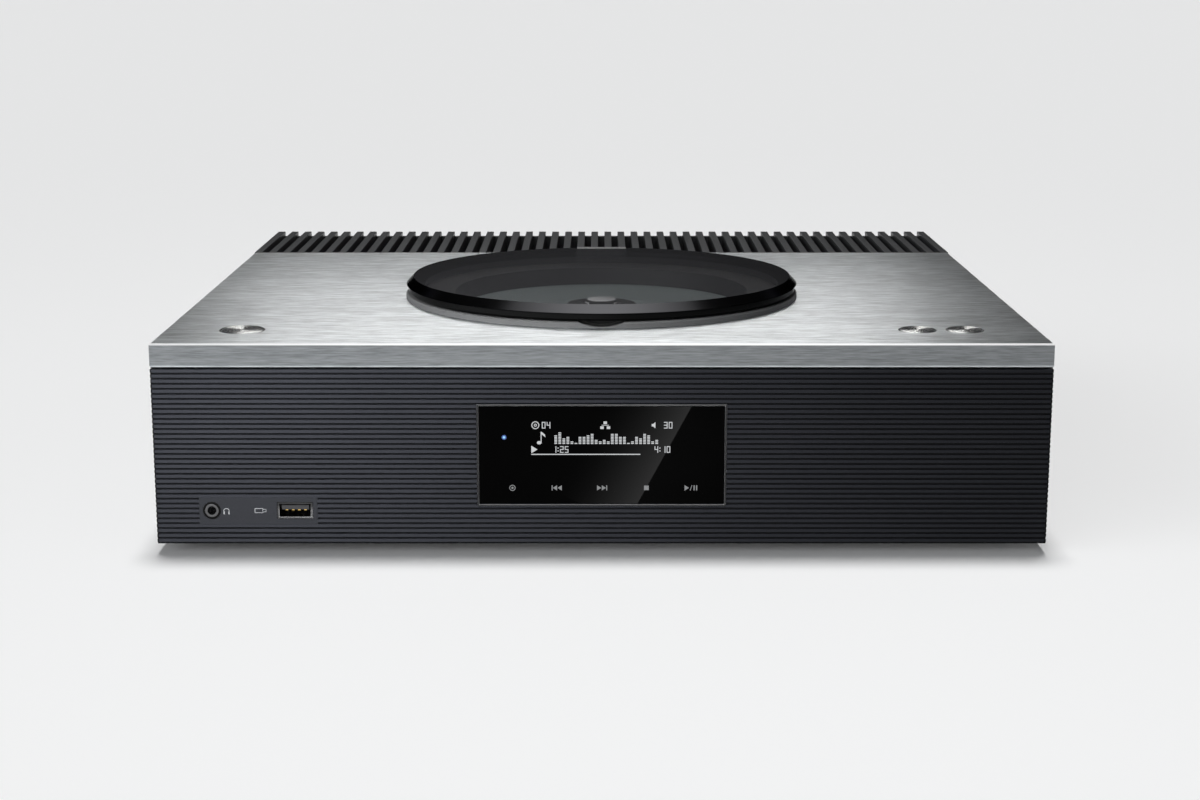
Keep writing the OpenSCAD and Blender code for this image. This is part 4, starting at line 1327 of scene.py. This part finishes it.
@dataclass(frozen=True)
class Lamp:
    """One soft lamp: where it hangs and points, in metres, how big and how strong it is."""

    name: str
    place: Point3
    aim: Point3
    size: Point2
    watts: float
    beam: float = 180.0
    spares_floor: bool = False
    shines: bool = True
    roll: float = 0.0
    fade: Fade = Fade.EVEN
    tint: Colour = (1.0, 1.0, 1.0)

    def bulb(self) -> bpy.types.Light:
        """Makes the light itself: a soft box whose beam can be narrowed and can fade.

        Returns:
            The light, still without its strength and tint.
        """
        data = bpy.data.lights.new(self.name, "AREA")
        data.shape = "RECTANGLE"
        data.size, data.size_y = self.size
        data.spread = math.radians(self.beam)
        if self.fade is not Fade.EVEN:
            data.use_nodes = True
            sheet = NodeSheet(data.node_tree)
            across, _, _ = sheet.split(sheet.add("ShaderNodeNewGeometry", out="Parametric"))
            glow = sheet.add("ShaderNodeEmission", sockets={"Strength": self.fade.level(across)})
            sheet.add("ShaderNodeOutputLight", sockets={"Surface": glow})
        return data

    def hang(self) -> None:
        """Makes the lamp and turns it to its aim."""
        data = self.bulb()
        data.energy = self.watts
        data.color = self.tint
        lamp = bpy.data.objects.new(self.name, data)
        lamp.location = self.place
        turn = (Vector(self.aim) - Vector(self.place)).to_track_quat("-Z", "Y")
        roll = Quaternion((0.0, 0.0, 1.0), math.radians(self.roll))
        lamp.rotation_euler = (turn @ roll).to_euler()
        lamp.visible_camera = False
        lamp.visible_glossy = self.shines
        bpy.context.collection.objects.link(lamp)
        self.link(lamp)

    def link(self, lamp: bpy.types.Object) -> None:
        """Keeps the lamp's light off the floor, if it is meant to spare it.

        Args:
            lamp: the lamp in the scene.
        """
        if self.spares_floor:
            spared = bpy.data.collections.new(f"{self.name}_spares")
            spared.objects.link(bpy.data.objects["floor"])
            spared.collection_objects[0].light_linking.link_state = "EXCLUDE"
            lamp.light_linking.receiver_collection = spared


@dataclass(frozen=True)
class SheenLamp(Lamp):
    """A small soft box that shows in the gloss of one piece alone."""

    shows_in: str = "display_window"

    def link(self, lamp: bpy.types.Object) -> None:
        """Gives the light to the one piece that it shows in.

        Args:
            lamp: the lamp in the scene.
        """
        lit = bpy.data.collections.new(f"{self.name}_lights")
        lit.objects.link(bpy.data.objects[self.shows_in])
        lamp.light_linking.receiver_collection = lit


@dataclass(frozen=True)
class SkyLamp(Lamp):
    """A lamp so far up that it lights the whole floor alike. Its watts are per square metre."""

    def bulb(self) -> bpy.types.Light:
        """Makes the light itself, as wide in the sky as its beam in degrees.

        Returns:
            The light, still without its strength and tint.
        """
        data = bpy.data.lights.new(self.name, "SUN")
        data.angle = math.radians(self.beam)
        return data


@dataclass
class Studio:
    """The pale floor, the soft lamps, the room's light and the camera, placed in metres."""

    camera_at: Point3 = (-0.0007, -0.9760, 0.2369)
    pitch: float = 12.141
    lens: float = 61.9
    sensor: float = 36.0
    floor_half: float = 14.0
    # The floor's far tone, and the brighter near tone of a painted pool of light in front of the
    # console.
    floor_and_light_pool_tones: Point2 = (0.85, 0.97)
    floor_bounce: float = 0.12
    floor_lift: float = 0.03
    backdrop: float = 0.78
    room_colour: Colour = (0.96, 0.98, 1.0)
    room_level: float = 0.015
    strip_level: float = 0.09
    left_levels: Point2 = (1.80, 0.10)
    sides_level: float = 0.35
    lamps: tuple[Lamp, ...] = (
        SkyLamp("sky", (0.0, 0.32, 2.0), (0.0, 0.0, 0.0), (1.0, 1.0), 2.25, 15.0, shines=False),
        Lamp(
            "back_box", (-0.02, 0.26, 0.56), (-0.02, -0.18, 0.08), (0.48, 0.38), 0.35, 66.0,
            spares_floor=True, tint=(1.0, 0.98, 0.955),
        ),
        Lamp(
            "left_box", (-0.20, -0.45, 0.25), (-0.13, -0.17, 0.045), (0.15, 0.15), 1.05, 80.0,
            spares_floor=True, shines=False,
        ),
        Lamp(
            "overhead_box", (0.0, -0.32, 1.0), (0.0, -0.32, 0.0), (1.8, 0.45), 3.9,
            spares_floor=True, fade=Fade.ENDS,
        ),
        SheenLamp(
            "display_sheen", (0.0111, -0.2, 0.0415), (0.0111, 0.0, 0.0415), (0.034, 0.070), 0.185,
            roll=-28.2, fade=Fade.LEFT,
        ),
    )

    def build(self) -> None:
        """Sets up the whole studio."""
        self.set_camera()
        self.lay_floor()
        self.light_room()
        for lamp in self.lamps:
            lamp.hang()
        bpy.context.scene.view_settings.view_transform = "Standard"

    def set_camera(self) -> None:
        """Puts the camera where the photograph was taken from."""
        data = bpy.data.cameras.new("camera")
        data.lens = self.lens
        data.sensor_width = self.sensor
        camera = bpy.data.objects.new("camera", data)
        camera.location = self.camera_at
        camera.rotation_euler = (math.radians(90.0 - self.pitch), 0.0, 0.0)
        bpy.context.collection.objects.link(camera)
        bpy.context.scene.camera = camera

    def lay_floor(self) -> None:
        """Lays a wide pale floor that still takes the shadow, with a painted pool of light near the
        console.
        """
        work = bmesh.new()
        bmesh.ops.create_grid(work, x_segments=8, y_segments=8, size=self.floor_half)
        data = bpy.data.meshes.new("floor")
        work.to_mesh(data)
        work.free()
        floor = bpy.data.objects.new("floor", data)
        bpy.context.collection.objects.link(floor)
        material = bpy.data.materials.new("pale_floor")
        material.use_nodes = True
        sheet = NodeSheet(material.node_tree)
        seen = sheet.shown()
        far, near, dull = (grey(level) for level in (*self.floor_and_light_pool_tones, self.floor_bounce))
        x, y, _ = sheet.split(sheet.place())
        # A painted pool of light: the floor is brighter in a broad patch in front of the console.
        pale = sheet.blend(x.bell(0.0, 0.6) * y.bell(-0.4, 0.9), far, near)
        matt = sheet.add("ShaderNodeBsdfDiffuse", sockets={"Color": sheet.blend(seen, dull, pale)})
        lift = sheet.add("ShaderNodeEmission", sockets={"Color": pale})
        shares = {0: seen * self.floor_lift, 1: matt, 2: lift}
        mixed = sheet.add("ShaderNodeMixShader", sockets=shares)
        sheet.add("ShaderNodeOutputMaterial", sockets={"Surface": mixed})
        data.materials.append(material)

    def light_room(self) -> None:
        """Fills the room with soft light: a strip behind the console, a bright left, dim sides.

        The camera sees an even backdrop in its place. The ends of each ramp are directions.
        """
        world = bpy.data.worlds.new("room")
        bpy.context.scene.world = world
        world.use_nodes = True
        sheet = NodeSheet(world.node_tree)
        x, y, z = sheet.split(sheet.add("ShaderNodeTexCoord", out="Generated"))
        bright, least = self.left_levels
        strip = x.bell(-0.03, 0.12) * y.ramp(-0.2, 0.2) * self.strip_level
        left = (x.ramp(0.28, -0.2) * bright + least) * y.ramp(0.2, -0.4) * z.ramp(0.8, 0.3)
        sides = (x * x).ramp(0.10, 0.36) * z.ramp(0.52, 0.36) * self.sides_level
        level = strip + left + sides + self.room_level
        seen = sheet.add("ShaderNodeLightPath", out="Is Camera Ray")
        level = level + seen * (self.backdrop - level)
        sockets = {"Color": opaque(self.room_colour), "Strength": level}
        glow = sheet.add("ShaderNodeBackground", sockets=sockets)
        sheet.add("ShaderNodeOutputWorld", sockets={"Surface": glow})


def main() -> None:
    """Loads the frame, dresses it, and builds the added pieces and the studio."""
    logging.basicConfig(level=logging.INFO, format="%(message)s")
    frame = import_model()
    Studio().build()
    for kind in (Case, DiscDeck, Keys, Display, FrontSockets, RearSockets, Electronics):
        group = kind()
        group.dress(frame["nodes"])
        group.build()
        log.info("finished %s", kind.__name__)


if __name__ == "__main__":
    main()
